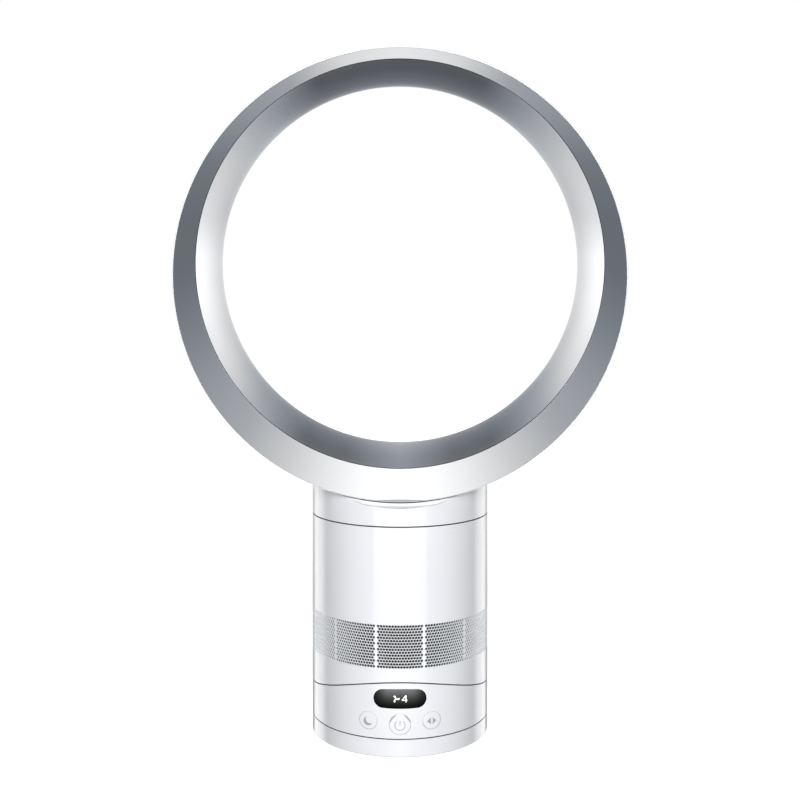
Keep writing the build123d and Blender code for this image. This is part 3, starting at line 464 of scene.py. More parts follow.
def clean_graph(owner: bpy.types.Material | bpy.types.World) -> Graph:
    """Give a material or the world an empty node tree.

    Args:
        owner: The material or the world.

    Returns:
        A graph that writes the tree.
    """
    owner.use_nodes = True
    owner.node_tree.nodes.clear()
    return Graph(owner.node_tree)


class Effect(Enum):
    """Surface effects that several finishes share, each a node group."""

    GRAIN = "moulding_grain"
    DRIFT = "tone_drift"
    WIPED = "wiped_gloss"
    SEAM_SHADE = "painted_seam_shade"
    INSIDE = "painted_shade_inside"


NUMBER, VECTOR, COLOUR = "NodeSocketFloat", "NodeSocketVector", "NodeSocketColor"


def _open_group(which: Effect, inputs: tuple[tuple[str, str, object], ...],
                output: tuple[str, str]) -> tuple[Graph, bpy.types.Node]:
    """Start a node group with named sockets.

    Args:
        which: The effect, which gives the group its name.
        inputs: Name, socket type and default of each input.
        output: Name and socket type of the output.

    Returns:
        A graph that writes the group, and the node that holds its inputs.
    """
    tree = bpy.data.node_groups.new(which.value, "ShaderNodeTree")
    for name, kind, value in inputs:
        socket = tree.interface.new_socket(name=name, in_out="INPUT", socket_type=kind)
        socket.default_value = value
    tree.interface.new_socket(name=output[0], in_out="OUTPUT", socket_type=output[1])
    g = Graph(tree)
    return g, g.node("NodeGroupInput")


def build_effects() -> None:
    """Build the shared effects once."""
    g, start = _open_group(Effect.GRAIN, (("Scale", NUMBER, 900.0), ("Height", NUMBER, 0.00002)),
                           ("Normal", VECTOR))
    noise = g.node("ShaderNodeTexNoise", {"Vector": g.place(), "Scale": start.outputs["Scale"],
                                          "Detail": 3.0, "Roughness": 0.6})
    g.node("NodeGroupOutput", {"Normal": g.bump(1.0, start.outputs["Height"], noise.outputs[0])})

    g, start = _open_group(Effect.DRIFT, (("Colour", COLOUR, (0.8, 0.8, 0.8, 1.0)),
                                          ("Amount", NUMBER, 0.02), ("Scale", NUMBER, 18.0)),
                           ("Colour", COLOUR))
    off = g.maths("SUBTRACT", g.noise(start.outputs["Scale"], 2.0), 0.5)
    swing = g.maths("MULTIPLY", off, start.outputs["Amount"])
    lift = g.maths("ADD", g.maths("MULTIPLY", swing, 2.0), 1.0)
    g.node("NodeGroupOutput", {"Colour": g.shade(start.outputs["Colour"], lift)})

    g, start = _open_group(Effect.WIPED, (("Roughness", NUMBER, 0.15), ("Amount", NUMBER, 0.04)),
                           ("Roughness", NUMBER))
    stretch = g.node("ShaderNodeMapping", {"Vector": g.place(), "Scale": (14.0, 14.0, 40.0),
                                           "Rotation": (0.0, 0.5, 0.0)})
    smear = g.node("ShaderNodeTexNoise", {"Vector": stretch.outputs[0], "Scale": 1.0,
                                          "Detail": 4.0, "Distortion": 0.6})
    smudge = g.spread(smear.outputs[0], 0.45, 0.75)
    out = g.maths("MULTIPLY_ADD", smudge, start.outputs["Amount"], start.outputs["Roughness"])
    g.node("NodeGroupOutput", {"Roughness": out})

    # painted shade: a faint speckled darkening along a seam, where shade falls in the gap
    g, start = _open_group(Effect.SEAM_SHADE, (("Height", NUMBER, 0.1836),
                                              ("Reach", NUMBER, 0.0015)), ("Mask", NUMBER))
    parts = g.node("ShaderNodeSeparateXYZ", {0: g.place()})
    gap = g.maths("ABSOLUTE", g.maths("SUBTRACT", parts.outputs[2], start.outputs["Height"]))
    near = g.maths("SUBTRACT", 1.0, g.maths("DIVIDE", gap, start.outputs["Reach"]), clamp=True)
    out = g.maths("MULTIPLY", near, g.spread(g.noise(420.0, 2.0), 0.35, 0.7), clamp=True)
    g.node("NodeGroupOutput", {"Mask": out})

    # painted shade: dark inside a radius, between two heights
    g, start = _open_group(Effect.INSIDE, (("Radius", NUMBER, 0.0722), ("Top", NUMBER, 0.1855),
                                           ("Bottom", NUMBER, 0.003)), ("Mask", NUMBER))
    parts = g.node("ShaderNodeSeparateXYZ", {0: g.place()})
    flat = g.node("ShaderNodeCombineXYZ", {0: parts.outputs[0], 1: parts.outputs[1]})
    out = g.node("ShaderNodeVectorMath", {0: flat.outputs[0]}, operation="LENGTH")
    within = g.maths("LESS_THAN", out.outputs["Value"], start.outputs["Radius"])
    below = g.maths("LESS_THAN", parts.outputs[2], start.outputs["Top"])
    clear = g.maths("GREATER_THAN", parts.outputs[2], start.outputs["Bottom"])
    out = g.maths("MULTIPLY", g.maths("MULTIPLY", within, below), clear)
    g.node("NodeGroupOutput", {"Mask": out})


def effect(g: Graph, which: Effect, **feeds: object) -> bpy.types.NodeSocket:
    """Place a shared effect in a material.

    Args:
        g: The material's graph.
        which: The effect.
        feeds: Its inputs by name.

    Returns:
        The group's output socket.
    """
    node = g.node("ShaderNodeGroup", node_tree=bpy.data.node_groups[which.value])
    for name, value in feeds.items():
        g.put(value, node.inputs[name])
    return node.outputs[0]


@dataclass(frozen=True)
class Finish:
    """A finish: a name, a colour and how it is built."""

    name: str
    colour: Colour = (0.8, 0.8, 0.8)

    def material(self) -> bpy.types.Material:
        """Find the finish's material, or build it the first time.

        Returns:
            The material.
        """
        made = bpy.data.materials.get(self.name)
        if made is None:
            made = bpy.data.materials.new(self.name)
            g = clean_graph(made)
            shader = g.node("ShaderNodeBsdfPrincipled")
            g.node("ShaderNodeOutputMaterial", {"Surface": shader.outputs[0]})
            self.dress(g, shader)
            made.diffuse_color = self.rgba()
        return made

    def dress(self, g: Graph, shader: bpy.types.Node) -> None:
        """Set the shader's inputs; each finish does this its own way."""
        raise NotImplementedError

    def rgba(self) -> tuple[float, float, float, float]:
        """Return the colour with full cover."""
        return (*self.colour, 1.0)


def feed(g: Graph, shader: bpy.types.Node, **inputs: object) -> None:
    """Set inputs of a shader by name, with underscores for spaces."""
    for key, value in inputs.items():
        g.put(value, shader.inputs[key.replace("_", " ")])


SMOOTH = 0.0000001  # height in metres of the grain that a polished mould leaves


@dataclass(frozen=True)
class Lacquer(Finish):
    """Glossy white plastic under a clear coat, with painted shade along the seams and inside."""

    gloss: float = 0.3
    coat: float = 1.0
    coat_gloss: float = 0.04
    drilled: float = 72.5  # painted shade, dark and without coat, inside this radius, in millimetres
    in_shade: float = 73.3  # and inside this one below and above the drilled band, as follows in metres
    shade_zones: tuple[tuple[float, float], ...] = ((0.003, 0.068), (0.109, 0.1855))
    seams: tuple[float, ...] = ()

    def dress(self, g: Graph, shader: bpy.types.Node) -> None:
        """Drift the tone a little, paint speckled shade along the seams, and paint the inside dark
        and dull as shade.

        Args:
            g: The material's graph.
            shader: Its main shader.
        """
        colour = effect(g, Effect.DRIFT, Colour=self.rgba(), Amount=0.012, Scale=9.0)
        # painted shade: each seam is darkened a little, in specks
        for height in self.seams:
            dust = effect(g, Effect.SEAM_SHADE, Height=height * MM, Reach=0.0012)
            faint = g.maths("MULTIPLY", dust, 0.35)
            colour = g.blend(faint, colour, (0.45, 0.45, 0.46))
        # painted shade: dark and without coat inside these radii and on the faces that the mesh
        # marks
        inside = effect(g, Effect.INSIDE, Radius=self.drilled * MM)
        for bottom, top in self.shade_zones:
            zone = effect(g, Effect.INSIDE, Radius=self.in_shade * MM, Top=top, Bottom=bottom)
            inside = g.maths("MAXIMUM", inside, zone)
        joint = g.node("ShaderNodeAttribute", attribute_name="shaded_joint")
        inside = g.maths("MAXIMUM", inside, joint.outputs["Fac"])
        colour = g.blend(inside, colour, (0.03, 0.03, 0.032))
        coat = g.maths("MULTIPLY", g.maths("SUBTRACT", 1.0, inside), self.coat)
        grain = effect(g, Effect.GRAIN, Scale=900.0, Height=SMOOTH)
        feed(g, shader, Base_Color=colour, Normal=grain, Coat_Weight=coat,
             Coat_Roughness=self.coat_gloss, Coat_IOR=1.55, Specular_IOR_Level=0.3,
             Roughness=effect(g, Effect.WIPED, Roughness=self.gloss, Amount=0.03))


@dataclass(frozen=True)
class SilverPaint(Finish):
    """Silver paint: fine flakes in a clear binder over a smooth moulding."""

    gloss: float = 0.12

    def dress(self, g: Graph, shader: bpy.types.Node) -> None:
        """Scatter fine flakes, each a little lighter or darker than the next.

        Args:
            g: The material's graph.
            shader: Its main shader.
        """
        flakes = g.node("ShaderNodeTexVoronoi", {"Vector": g.place(), "Scale": 2600.0})
        glint = g.node("ShaderNodeSeparateColor", {0: flakes.outputs["Color"]})
        lift = g.spread(glint.outputs[0], 0.0, 1.0, 0.975, 1.02, "LINEAR")
        tone = effect(g, Effect.DRIFT, Colour=self.rgba(), Amount=0.01, Scale=7.0)
        colour = g.shade(tone, lift)
        rough = effect(g, Effect.WIPED, Roughness=self.gloss, Amount=0.02)
        feed(g, shader, Base_Color=colour, Metallic=1.0, Roughness=rough,
             Normal=effect(g, Effect.GRAIN, Scale=900.0, Height=SMOOTH))


@dataclass(frozen=True)
class SmokedGlass(Finish):
    """Black display glass with a painted reflection that lightens it along its upper edge."""

    low: float = 40.0
    high: float = 55.4

    def dress(self, g: Graph, shader: bpy.types.Node) -> None:
        """Paint a reflection that fades from smoke grey at the top to black, with a fine dot screen
        behind it.

        Args:
            g: The material's graph.
            shader: Its main shader.
        """
        # painted reflection: lighter towards the top and the middle of the window
        parts = g.node("ShaderNodeSeparateXYZ", {0: g.place()})
        rise = g.spread(parts.outputs[2], self.low * MM, self.high * MM, kind="LINEAR")
        fade = g.maths("POWER", rise, 1.8)
        ends = g.spread(g.maths("ABSOLUTE", parts.outputs[0]), 0.008, 0.0205, 1.0, 0.12)
        fade = g.maths("MULTIPLY", fade, ends)
        speck = g.spread(g.noise(1500.0, 1.0), 0.4, 0.7, 0.92, 1.0)
        tint_and_reflection = g.blend(g.maths("MULTIPLY", fade, speck), self.rgba(), (0.21, 0.215, 0.215))
        feed(g, shader, Base_Color=tint_and_reflection, Specular_IOR_Level=0.01,
             Roughness=effect(g, Effect.WIPED, Roughness=0.16, Amount=0.05))


@dataclass(frozen=True)
class PrintAndShade(Finish):
    """Printed grey ink of the key symbols, also painted shade round the power key, a little uneven
    in its cover.
    """

    def dress(self, g: Graph, shader: bpy.types.Node) -> None:
        """Let the white show through the print in places.

        Args:
            g: The material's graph.
            shader: Its main shader.
        """
        thin = g.spread(g.noise(900.0, 2.0), 0.3, 0.8, 0.0, 0.18)
        colour = g.blend(thin, self.rgba(), (0.8, 0.81, 0.82))
        feed(g, shader, Base_Color=colour, Roughness=0.5, Specular_IOR_Level=0.2)


@dataclass(frozen=True)
class LitSegment(Finish):
    """White light of the display."""

    glow: float = 0.75

    def dress(self, g: Graph, shader: bpy.types.Node) -> None:
        """Vary the light a little from point to point, as small lamps behind a mask do.

        Args:
            g: The material's graph.
            shader: Its main shader.
        """
        light = g.shade(self.rgba(), g.spread(g.noise(800.0, 1.0), 0.2, 0.8, 0.86, 1.0))
        feed(g, shader, Base_Color=light, Emission_Color=light, Emission_Strength=self.glow,
             Roughness=0.5)


@dataclass(frozen=True)
class Moulded(Finish):
    """Plain moulded plastic with a fine sparked grain and the flow of the melt."""

    gloss: float = 0.45
    scale: float = 700.0
    height: float = 0.00002

    def dress(self, g: Graph, shader: bpy.types.Node) -> None:
        """Use the shared grain, tone drift and wiped gloss.

        Args:
            g: The material's graph.
            shader: Its main shader.
        """
        tone = effect(g, Effect.DRIFT, Colour=self.rgba(), Amount=0.05, Scale=30.0)
        feed(g, shader, Base_Color=tone,
             Roughness=effect(g, Effect.WIPED, Roughness=self.gloss, Amount=0.08),
             Normal=effect(g, Effect.GRAIN, Scale=self.scale, Height=self.height))


@dataclass(frozen=True)
class Rubber(Finish):
    """Matt rubber with a dusty bloom."""

    def dress(self, g: Graph, shader: bpy.types.Node) -> None:
        """Bloom the colour with pale dust in the hollows of the grain.

        Args:
            g: The material's graph.
            shader: Its main shader.
        """
        mask = g.spread(g.noise(260.0, 5.0), 0.5, 0.8, 0.0, 0.3)
        feed(g, shader, Base_Color=g.blend(mask, self.rgba(), (0.3, 0.3, 0.3)), Roughness=0.85,
             Sheen_Weight=0.2, Normal=effect(g, Effect.GRAIN, Scale=1100.0, Height=0.00004))


@dataclass(frozen=True)
class TurnedMetal(Finish):
    """Bright metal with the fine rings that a lathe leaves along its axis."""

    gloss: float = 0.28
    pitch: float = 2400.0

    def dress(self, g: Graph, shader: bpy.types.Node) -> None:
        """Cut rings by height with a little wander, and stain the metal slightly.

        Args:
            g: The material's graph.
            shader: Its main shader.
        """
        wave = g.node("ShaderNodeTexWave", {"Vector": g.place(), "Scale": self.pitch / 20,
                                            "Distortion": 1.2, "Detail": 2.0}, bands_direction="Z")
        tone = effect(g, Effect.DRIFT, Colour=self.rgba(), Amount=0.08, Scale=50.0)
        feed(g, shader, Base_Color=tone, Metallic=1.0,
             Roughness=effect(g, Effect.WIPED, Roughness=self.gloss, Amount=0.12),
             Normal=g.bump(0.4, 0.00002, wave.outputs["Fac"]))


@dataclass(frozen=True)
class CircuitBoard(Finish):
    """Green solder mask over copper tracks, with the odd bare pad."""

    def dress(self, g: Graph, shader: bpy.types.Node) -> None:
        """Lay tracks as the cells of a square mosaic, lighter where the copper is, and gold pads.

        Args:
            g: The material's graph.
            shader: Its main shader.
        """
        tracks = g.node("ShaderNodeTexVoronoi", {"Vector": g.place(), "Scale": 260.0},
                        distance="CHEBYCHEV", feature="DISTANCE_TO_EDGE")
        line = g.spread(tracks.outputs[0], 0.05, 0.09, 1.0, 0.0)
        cells = g.node("ShaderNodeTexVoronoi", {"Vector": g.place(), "Scale": 340.0})
        pads = g.spread(cells.outputs["Distance"], 0.12, 0.16, 1.0, 0.0)
        green = g.blend(line, self.rgba(), (0.03, 0.22, 0.09))
        feed(g, shader, Base_Color=g.blend(pads, green, (0.75, 0.55, 0.22)),
             Metallic=g.maths("MULTIPLY", pads, 0.9), Roughness=0.35,
             Normal=g.bump(0.5, 0.00005, line))


@dataclass(frozen=True)
class OpenFoam(Finish):
    """Open-celled acoustic foam."""

    def dress(self, g: Graph, shader: bpy.types.Node) -> None:
        """Sink cells of two sizes into the foam, with painted shade darkening each pit.

        Args:
            g: The material's graph.
            shader: Its main shader.
        """
        cells = g.node("ShaderNodeTexVoronoi", {"Vector": g.place(), "Scale": 900.0})
        pit = g.spread(cells.outputs["Distance"], 0.1, 0.6)
        # painted shade: the colour falls to near black where the bump sinks
        colour = g.blend(pit, (0.006, 0.006, 0.006), self.rgba())
        feed(g, shader, Base_Color=colour, Roughness=0.95, Normal=g.bump(1.0, 0.0006, pit))


@dataclass(frozen=True)
class WovenMesh(Finish):
    """Black dust mesh: fine threads that cross over and under."""

    def dress(self, g: Graph, shader: bpy.types.Node) -> None:
        """Cross two sets of waves, upright and level, raise the threads, and paint shade into the
        gaps.

        Args:
            g: The material's graph.
            shader: Its main shader.
        """
        up = g.node("ShaderNodeTexWave", {"Vector": g.place(), "Scale": 260.0}, bands_direction="Z")
        across = g.node("ShaderNodeTexWave", {"Vector": g.place(), "Scale": 260.0},
                        bands_direction="DIAGONAL")
        thread = g.maths("MAXIMUM", up.outputs["Fac"], across.outputs["Fac"])
        # painted shade: near black in the gaps between the threads
        colour = g.blend(thread, (0.002, 0.002, 0.002), self.rgba())
        feed(g, shader, Base_Color=colour, Roughness=0.7, Normal=g.bump(0.8, 0.0001, thread))


@dataclass(frozen=True)
class Winding(Finish):
    """Enamelled copper wire wound in close layers."""

    def dress(self, g: Graph, shader: bpy.types.Node) -> None:
        """Band the copper by height, one band for each turn of wire, with painted shade between the
        turns.

        Args:
            g: The material's graph.
            shader: Its main shader.
        """
        wire = g.node("ShaderNodeTexWave", {"Vector": g.place(), "Scale": 500.0, "Distortion": 0.5},
                      bands_direction="Z")
        # painted shade: darker copper where the bump is low, between the turns
        colour = g.blend(wire.outputs["Fac"], (0.25, 0.07, 0.02), self.rgba())
        feed(g, shader, Base_Color=colour, Metallic=0.8, Roughness=0.3, Coat_Weight=0.5,
             Normal=g.bump(1.0, 0.0002, wire.outputs["Fac"]))


SEAM_HEIGHTS = (183.6, 15.0)
WHITE = Lacquer("white_lacquer", (0.785, 0.80, 0.83), seams=SEAM_HEIGHTS)
SILVER = SilverPaint("silver_paint", (0.745, 0.755, 0.765))
GLASS = SmokedGlass("smoked_glass", (0.004, 0.0045, 0.0045))
INK = PrintAndShade("symbol_ink", (0.33, 0.35, 0.37))
PALE_INK = PrintAndShade("pale_ink", (0.47, 0.475, 0.48))
# painted shade: the two tapered arcs round the power key
ARC_SHADE = PrintAndShade("painted_arc_shade", (0.35, 0.355, 0.36))
LIGHT = LitSegment("display_light", (1.0, 1.0, 0.96))
CHARCOAL = Moulded("charcoal_moulding", (0.028, 0.030, 0.033), gloss=0.5)
PALE_GREY = Moulded("pale_grey_moulding", (0.42, 0.43, 0.44), gloss=0.45)
NATURAL = Moulded("natural_nylon", (0.70, 0.68, 0.60), gloss=0.35, scale=500.0)
RUBBER = Rubber("black_rubber", (0.02, 0.02, 0.021))
GREY_RUBBER = Rubber("grey_rubber", (0.16, 0.16, 0.165))
STEEL = TurnedMetal("turned_steel", (0.62, 0.62, 0.63))
MAGNET = TurnedMetal("sintered_magnet", (0.12, 0.12, 0.13), gloss=0.5, pitch=900.0)
BOARD = CircuitBoard("green_board", (0.01, 0.11, 0.045))
FOAM = OpenFoam("grey_foam", (0.11, 0.11, 0.12))
MESH = WovenMesh("black_mesh", (0.012, 0.012, 0.013))
COPPER = Winding("copper_winding", (0.78, 0.34, 0.14))


# ---------------------------------------------------------------- the fan's own sizes


@dataclass(frozen=True)
class Sizes:
    """Sizes that several sub-assemblies share, in millimetres."""

    body: float = 73.5
    wall: float = 2.5
    foot_bottom: float = 0.8
    foot_top: float = 14.6
    lower_bottom: float = 15.4
    tilt_height: float = 208.0
    lower_seam: float = 165.4
    upper_seam: float = 164.6
    casing_top: float = 183.15
    neck_bottom: float = 184.05
    loop_height: float = 380.1
    throat_height: float = 388.9
    crest: float = 159.1
    crest_depth: float = -73.5
    rim_depth: float = -66.0

    def seam_height(self, seam: float, y: Array) -> Array:
        """Return the height of a curved seam of some radius about the tilt axis at depth y."""
        return self.tilt_height - np.sqrt(seam**2 - y**2)


SIZES = Sizes()

# Softened edges of level and curved seams, as steps in from the skin and away from the joint.
LEVEL_EDGE = ((0.16, 0.0), (0.04, 0.04), (0.0, 0.16), (0.0, 0.5))
CURVED_EDGE = ((0.2, 0.0), (0.05, 0.05), (0.0, 0.2), (0.0, 0.6))


@dataclass
class Loop:
    """The hollow loop: outer casing, diffuser wall, front bevel and the neck that carries them."""

    sizes: Sizes = SIZES
    rim: float = 179.1  # radius of the outer casing's front edge
    lifted: float = 0.45  # the edge is rounded to this much smaller and higher a circle
    side: tuple[float, float] = (-32.0, 177.6)  # where the straight run ends, as (y, radius)
    back: tuple[float, float] = (17.0, 169.5)  # where the arc after it ends
    rear_edge: float = 161.0  # radius at which the flat rear starts
    rear: float = 26.5  # depth of the flat rear
    bevel: float = 177.7  # outer radius of the silver bevel
    throat: float = 148.0  # radius of the diffuser's narrowest circle
    bulge: float = 1.0
    shoulder: float = 212.0  # height of the neck's shoulder
    shoulder_edge: float = 8.0  # radius of its edge
    fairing: float = 63.5  # radius of the round part that rises from the shoulder
    rear_gap: float = 0.3  # how far that part stays ahead of the flat rear
    fillet: float = 0.55  # share of the shoulder that the hollow fillet takes
    fillet_range: tuple[float, float] = (1.0, 7.0)
    duct: float = 60.0  # radius of the bore inside
    duct_wall: float = 3.4
    duct_top: float = 250.0
    duct_foot: float = 198.0
    socket: float = 67.4  # inner and outer radius of the neck's foot
    seat: float = 70.6
    socket_top: float = 186.0
    foot: float = 176.2  # height at which the neck's foot ends, inside the body
    rungs: tuple[float, ...] = (190.0, 196.5, 203.6)  # heights of points up the straight wall
    slot: float = 0.8  # height of the slot under the rim at the middle
    slot_end: float = -50.0  # depth at which it closes
    slot_thins: float = 0.7  # how fast it thins sideways, and to which share at the least
    slot_least: float = 0.15
    fall: float = 0.187  # slope of the slot's floor
    collar: float = 3.75  # height of the collar at the middle
    collar_reach: float = 44.0  # how far it goes to each side
    collar_back: float = 0.9  # how far ahead of the rim the collar's rise starts
    collar_rise: float = 0.7  # depth that the rise takes
    ledge_slope: float = 0.12
    skin_gap: float = 0.05  # the rise stays this far behind the body's skin
    overlap: float = 1.5  # how far the neck goes into the casing
    least_ahead: float = 0.3  # strips that face ahead less than this count as if they did
    groove: float = 0.34  # width and depth of the groove beside the ledge
    groove_ends: tuple[tuple[float, float], ...] = ((20.0, 8.0), (40.0, 9.0))
    groove_depths: tuple[float, float] = (0.03, 0.5)  # where its faces lie behind the skin
    groove_shade: float = 0.55  # how much of the painted shade the groove gets
    shade_inset: float = 1.0  # the slot's faces with painted shade lie at least this far behind the skin
    shade_ahead: float = 0.2
    shade_end: float = -40.0
    shade_reach: float = 46.0
    shade_depth: float = 6.0
    body: str = "main_body"

    def outer_path(self) -> Array:
        """Run the casing's outside from its front edge to its flat back, as (y, radius).

        A straight run to the widest part is followed by two arcs, each tangent to what is before
        it.

        Returns:
            The points, one row each.
        """
        front, side = np.array([self.sizes.rim_depth, self.rim]), np.array(self.side)
        back = tangent_arc(side, np.array(self.back), side - front, 14)
        end = back[-1] - back[-2]
        corner = tangent_arc(back[-1], np.array([self.rear, self.rear_edge]), end, 12)
        return np.vstack([front[None], back, corner[1:]])

    def casing(self) -> bpy.types.Object:
        """Build the white outer casing with the thin lip inside that faces the slot.

        The front edge has three rounded corners; its fourth one only gives the last side's way.

        Returns:
            The piece.
        """
        low, high, edge = self.sizes.loop_height, self.sizes.throat_height, self.sizes.rim_depth
        path = self.outer_path()
        outside = np.column_stack([path, np.full(len(path), low)])
        front = np.array([[edge, 177.75, low], [edge, self.rim - self.lifted, low + self.lifted],
                          [-58.0, 178.7, low], [-60.0, 177.75, low]])
        steps = 8
        rounded = soften(front, [0.2, 0.6, 0.0, 0.0], steps)[:3 * steps]
        lip = np.array([[self.rear, 160.9, low], [self.rear, 153.6, high], [23.5, 150.7, high],
                        [9.0, 149.3, high], [9.0, 150.8, high], [24.0, 153.8, high],
                        [24.0, 160.0, low], [15.0, 167.0, low], [-32.0, 175.1, low],
                        [-60.0, 177.3, low]])
        lip = soften(lip, [0.0, 0.8, 2.0, 0.5, 0.5, 0.0, 0.5, 0.5, 0.5, 0.0])
        section = np.vstack([rounded, outside[1:], lip])
        mesh = swept_rings(section).mesh("loop_casing_skin")
        return piece("loop_casing_skin", mesh, self.body, WHITE.material(),
                     ("loop_outer_casing",))

    def diffuser(self) -> bpy.types.Object:
        """Build the inner wall: a slightly bulged flare from the throat out to the crest.

        Over the wall's run t goes from 0 to 1 and the radius is the chord's less 4 b t (1 - t),
        where b is the bulge; a tangent arc then turns the wall back over the nose into the slot.

        Returns:
            The piece.
        """
        high = self.sizes.throat_height
        start = np.array([self.sizes.crest_depth + 0.25, self.sizes.crest - 0.35])
        t = np.linspace(0.0, 1.0, 25)[:, None]
        wall = start * (1 - t) + np.array([0.0, self.throat]) * t
        wall[:, 1] -= 4 * self.bulge * (t * (1 - t))[:, 0]
        nose = tangent_arc(wall[-1], np.array([9.0, 152.1]), wall[-1] - wall[-2], 10)[1:]
        back = np.array([[18.0, 155.1], [18.0, 157.1], [0.0, 151.2], [-68.5, 160.0],
                         [-69.0, 158.75]])
        path = np.vstack([wall, nose, back])
        section = np.column_stack([path, np.full(len(path), high)])
        mesh = swept_rings(section).mesh("loop_diffuser_skin")
        return piece("loop_diffuser_skin", mesh, self.body, SILVER.material(),
                     ("loop_inner_casing",))

    def front_bevel(self) -> bpy.types.Object:
        """Build the silver bevel between the high inner circle and the low outer one.

        Returns:
            The piece.
        """
        s = self.sizes
        low, high = s.loop_height, s.throat_height
        corners = np.array([[s.crest_depth, 159.2, high], [s.rim_depth, self.bevel, low],
                            [-62.0, 176.8, low], [-62.0, 174.9, low], [-64.2, 174.9, low],
                            [-70.5, 159.2, high]])
        section = soften(corners, [0.16, 0.2, 0.0, 0.0, 0.0, 0.0])
        mesh = swept_rings(section).mesh("loop_bevel_skin")
        return piece("loop_bevel_skin", mesh, self.body, SILVER.material(),
                     ("loop_front_bezel",))

    def rim_foot(self, x: Array) -> Array:
        """Return the height of the rim's front edge above a place x, on the lower half."""
        radius = self.rim - self.lifted
        return self.sizes.loop_height + self.lifted - np.sqrt(np.maximum(radius**2 - x**2, 0.0))

    def collar_edge(self, x: Array) -> Array:
        """Return the height of the collar's foot: under the rim by c sqrt(1 - (x / r)^4)."""
        below = self.collar * np.sqrt(np.clip(1 - (x / self.collar_reach) ** 4, 0.0, 1.0))
        return self.rim_foot(x) - below

    def ceiling(self, x: Array, y: Array) -> Array:
        """Return the height under the loop at (x, y), which trims the neck.

        Ahead, a narrow ledge runs in from the body's wall at the collar's foot, the collar rises
        steeply close to the rim, and the floor of a slot falls backwards from its top, which lies
        the slot's height under the rim. Past the slot's end it is the casing's own circle, which
        the neck enters by the overlap.

        Args:
            x: Places across.
            y: Places in depth, none behind the loop.

        Returns:
            The heights.
        """
        path = self.outer_path()
        radius = np.interp(y, path[:, 0], path[:, 1])
        drop = np.sqrt(np.maximum(radius**2 - x**2, 0.0))
        circle_height = self.sizes.loop_height - drop + self.overlap
        behind = self.sizes.body - np.hypot(x, y)
        thin = 1 - self.slot_thins * (x / self.slot_end) ** 2
        gap = self.slot * np.clip(thin, self.slot_least, 1.0)
        plane = self.rim_foot(x) - gap - self.fall * (y - self.sizes.rim_depth)
        ledge = self.collar_edge(x) + self.ledge_slope * behind
        along = np.minimum(y - self.sizes.rim_depth + self.collar_back, behind - self.skin_gap)
        share = np.clip(along / self.collar_rise, 0.0, 1.0)
        ahead = np.minimum(plane, ledge * (1 - share) + plane * share)
        closed = np.clip(y - self.slot_end, 0.0, 1.0)
        return ahead * (1 - closed) + circle_height * closed

    def roll(self, ahead: Array) -> tuple[Array, Array]:
        """Run from the outer wall over a quarter circle of the shoulder's edge.

        Two stations stand where the collar's steep step begins and ends, so that it stays crisp.

        Args:
            ahead: The sine of each upright strip's angle.

        Returns:
            The stations' radii and heights, with one column for each strip.
        """
        s, edge = self.sizes, self.shoulder_edge
        quarter = np.linspace(0.0, pi / 2, 17)[:, None]
        forward = np.maximum(-ahead, self.least_ahead)
        limit = s.body - self.skin_gap
        step_in = np.minimum((self.collar_back - s.rim_depth) / forward, limit)
        step_up = np.minimum((self.collar_back - self.collar_rise - s.rim_depth) / forward,
                             limit - self.collar_rise)
        skin = np.full((1, len(ahead)), s.body)
        curve = s.body - edge * (1 - np.cos(quarter)) * np.ones_like(skin)
        radius = np.vstack([skin, step_in, step_up, np.minimum(curve, step_up)[1:]])
        lean = np.clip(1 - (s.body - radius) / edge, 0.0, 1.0)
        return radius, self.shoulder - edge + edge * np.sqrt(1 - lean**2)

    def neck(self) -> bpy.types.Object:
        """Build the neck: a round wall, a rounded shoulder and a duct that rises into the loop.

        Each upright strip runs over (radius, height) stations: up the outer wall, over the
        shoulder's edge, in along the shoulder, up a hollow fillet to the loop and down the duct's
        bore; every height is then held under the loop's ceiling, and a groove is let into the wall.

        Returns:
            The piece.
        """
        s = self.sizes
        across, ahead = full_turn()
        flat_back = self.rear - self.rear_gap
        inner = np.where(self.fairing * ahead > flat_back,
                         flat_back / np.maximum(ahead, TINY), self.fairing)
        hollow = np.clip((s.body - self.shoulder_edge - inner) * self.fillet, *self.fillet_range)
        quarter = np.linspace(0.0, pi / 2, 17)[:, None]
        roll_r, roll_z = self.roll(ahead)
        scoop_r = inner + hollow * (1 - np.sin(quarter))
        scoop_z = self.shoulder + hollow * (1 - np.cos(quarter))
        wall = [(self.socket, self.foot), (self.seat, self.foot), (self.seat, s.neck_bottom)]
        wall += [(s.body - inset, s.neck_bottom + off) for inset, off in LEVEL_EDGE]
        wall += [(s.body, rung) for rung in self.rungs]
        ones = np.ones((1, TURNS))
        duct = np.minimum(inner - self.duct_wall, self.duct) * ones
        radius = np.vstack([r * ones for r, _ in wall] + [
            roll_r, scoop_r, inner * ones, duct, duct, self.socket * ones])
        top = self.duct_top * ones
        height = np.vstack([z * ones for _, z in wall] + [
            roll_z, scoop_z, top, top, self.duct_foot * ones, self.socket_top * ones])
        x, y = radius * across, radius * ahead
        ceiling = self.ceiling(x, np.minimum(y, self.rear))
        height = np.where(y <= self.rear, np.minimum(height, ceiling), height)
        last = len(wall) - 1
        half = self.groove / 2
        notch_z = height[last] - self.groove_drop() + np.array([[-half], [0.0], [half]])
        notch_in = np.array([[0.0], [self.groove], [0.0]]) * self.grooved(x[last], y[last])
        x = np.insert(x, last, (s.body - notch_in) * across, axis=0)
        y = np.insert(y, last, (s.body - notch_in) * ahead, axis=0)
        height = np.insert(height, last, notch_z, axis=0)
        surface = Surface.grid(np.stack([x, y, height], axis=-1), wrap_rows=True,
                               wrap_columns=True)
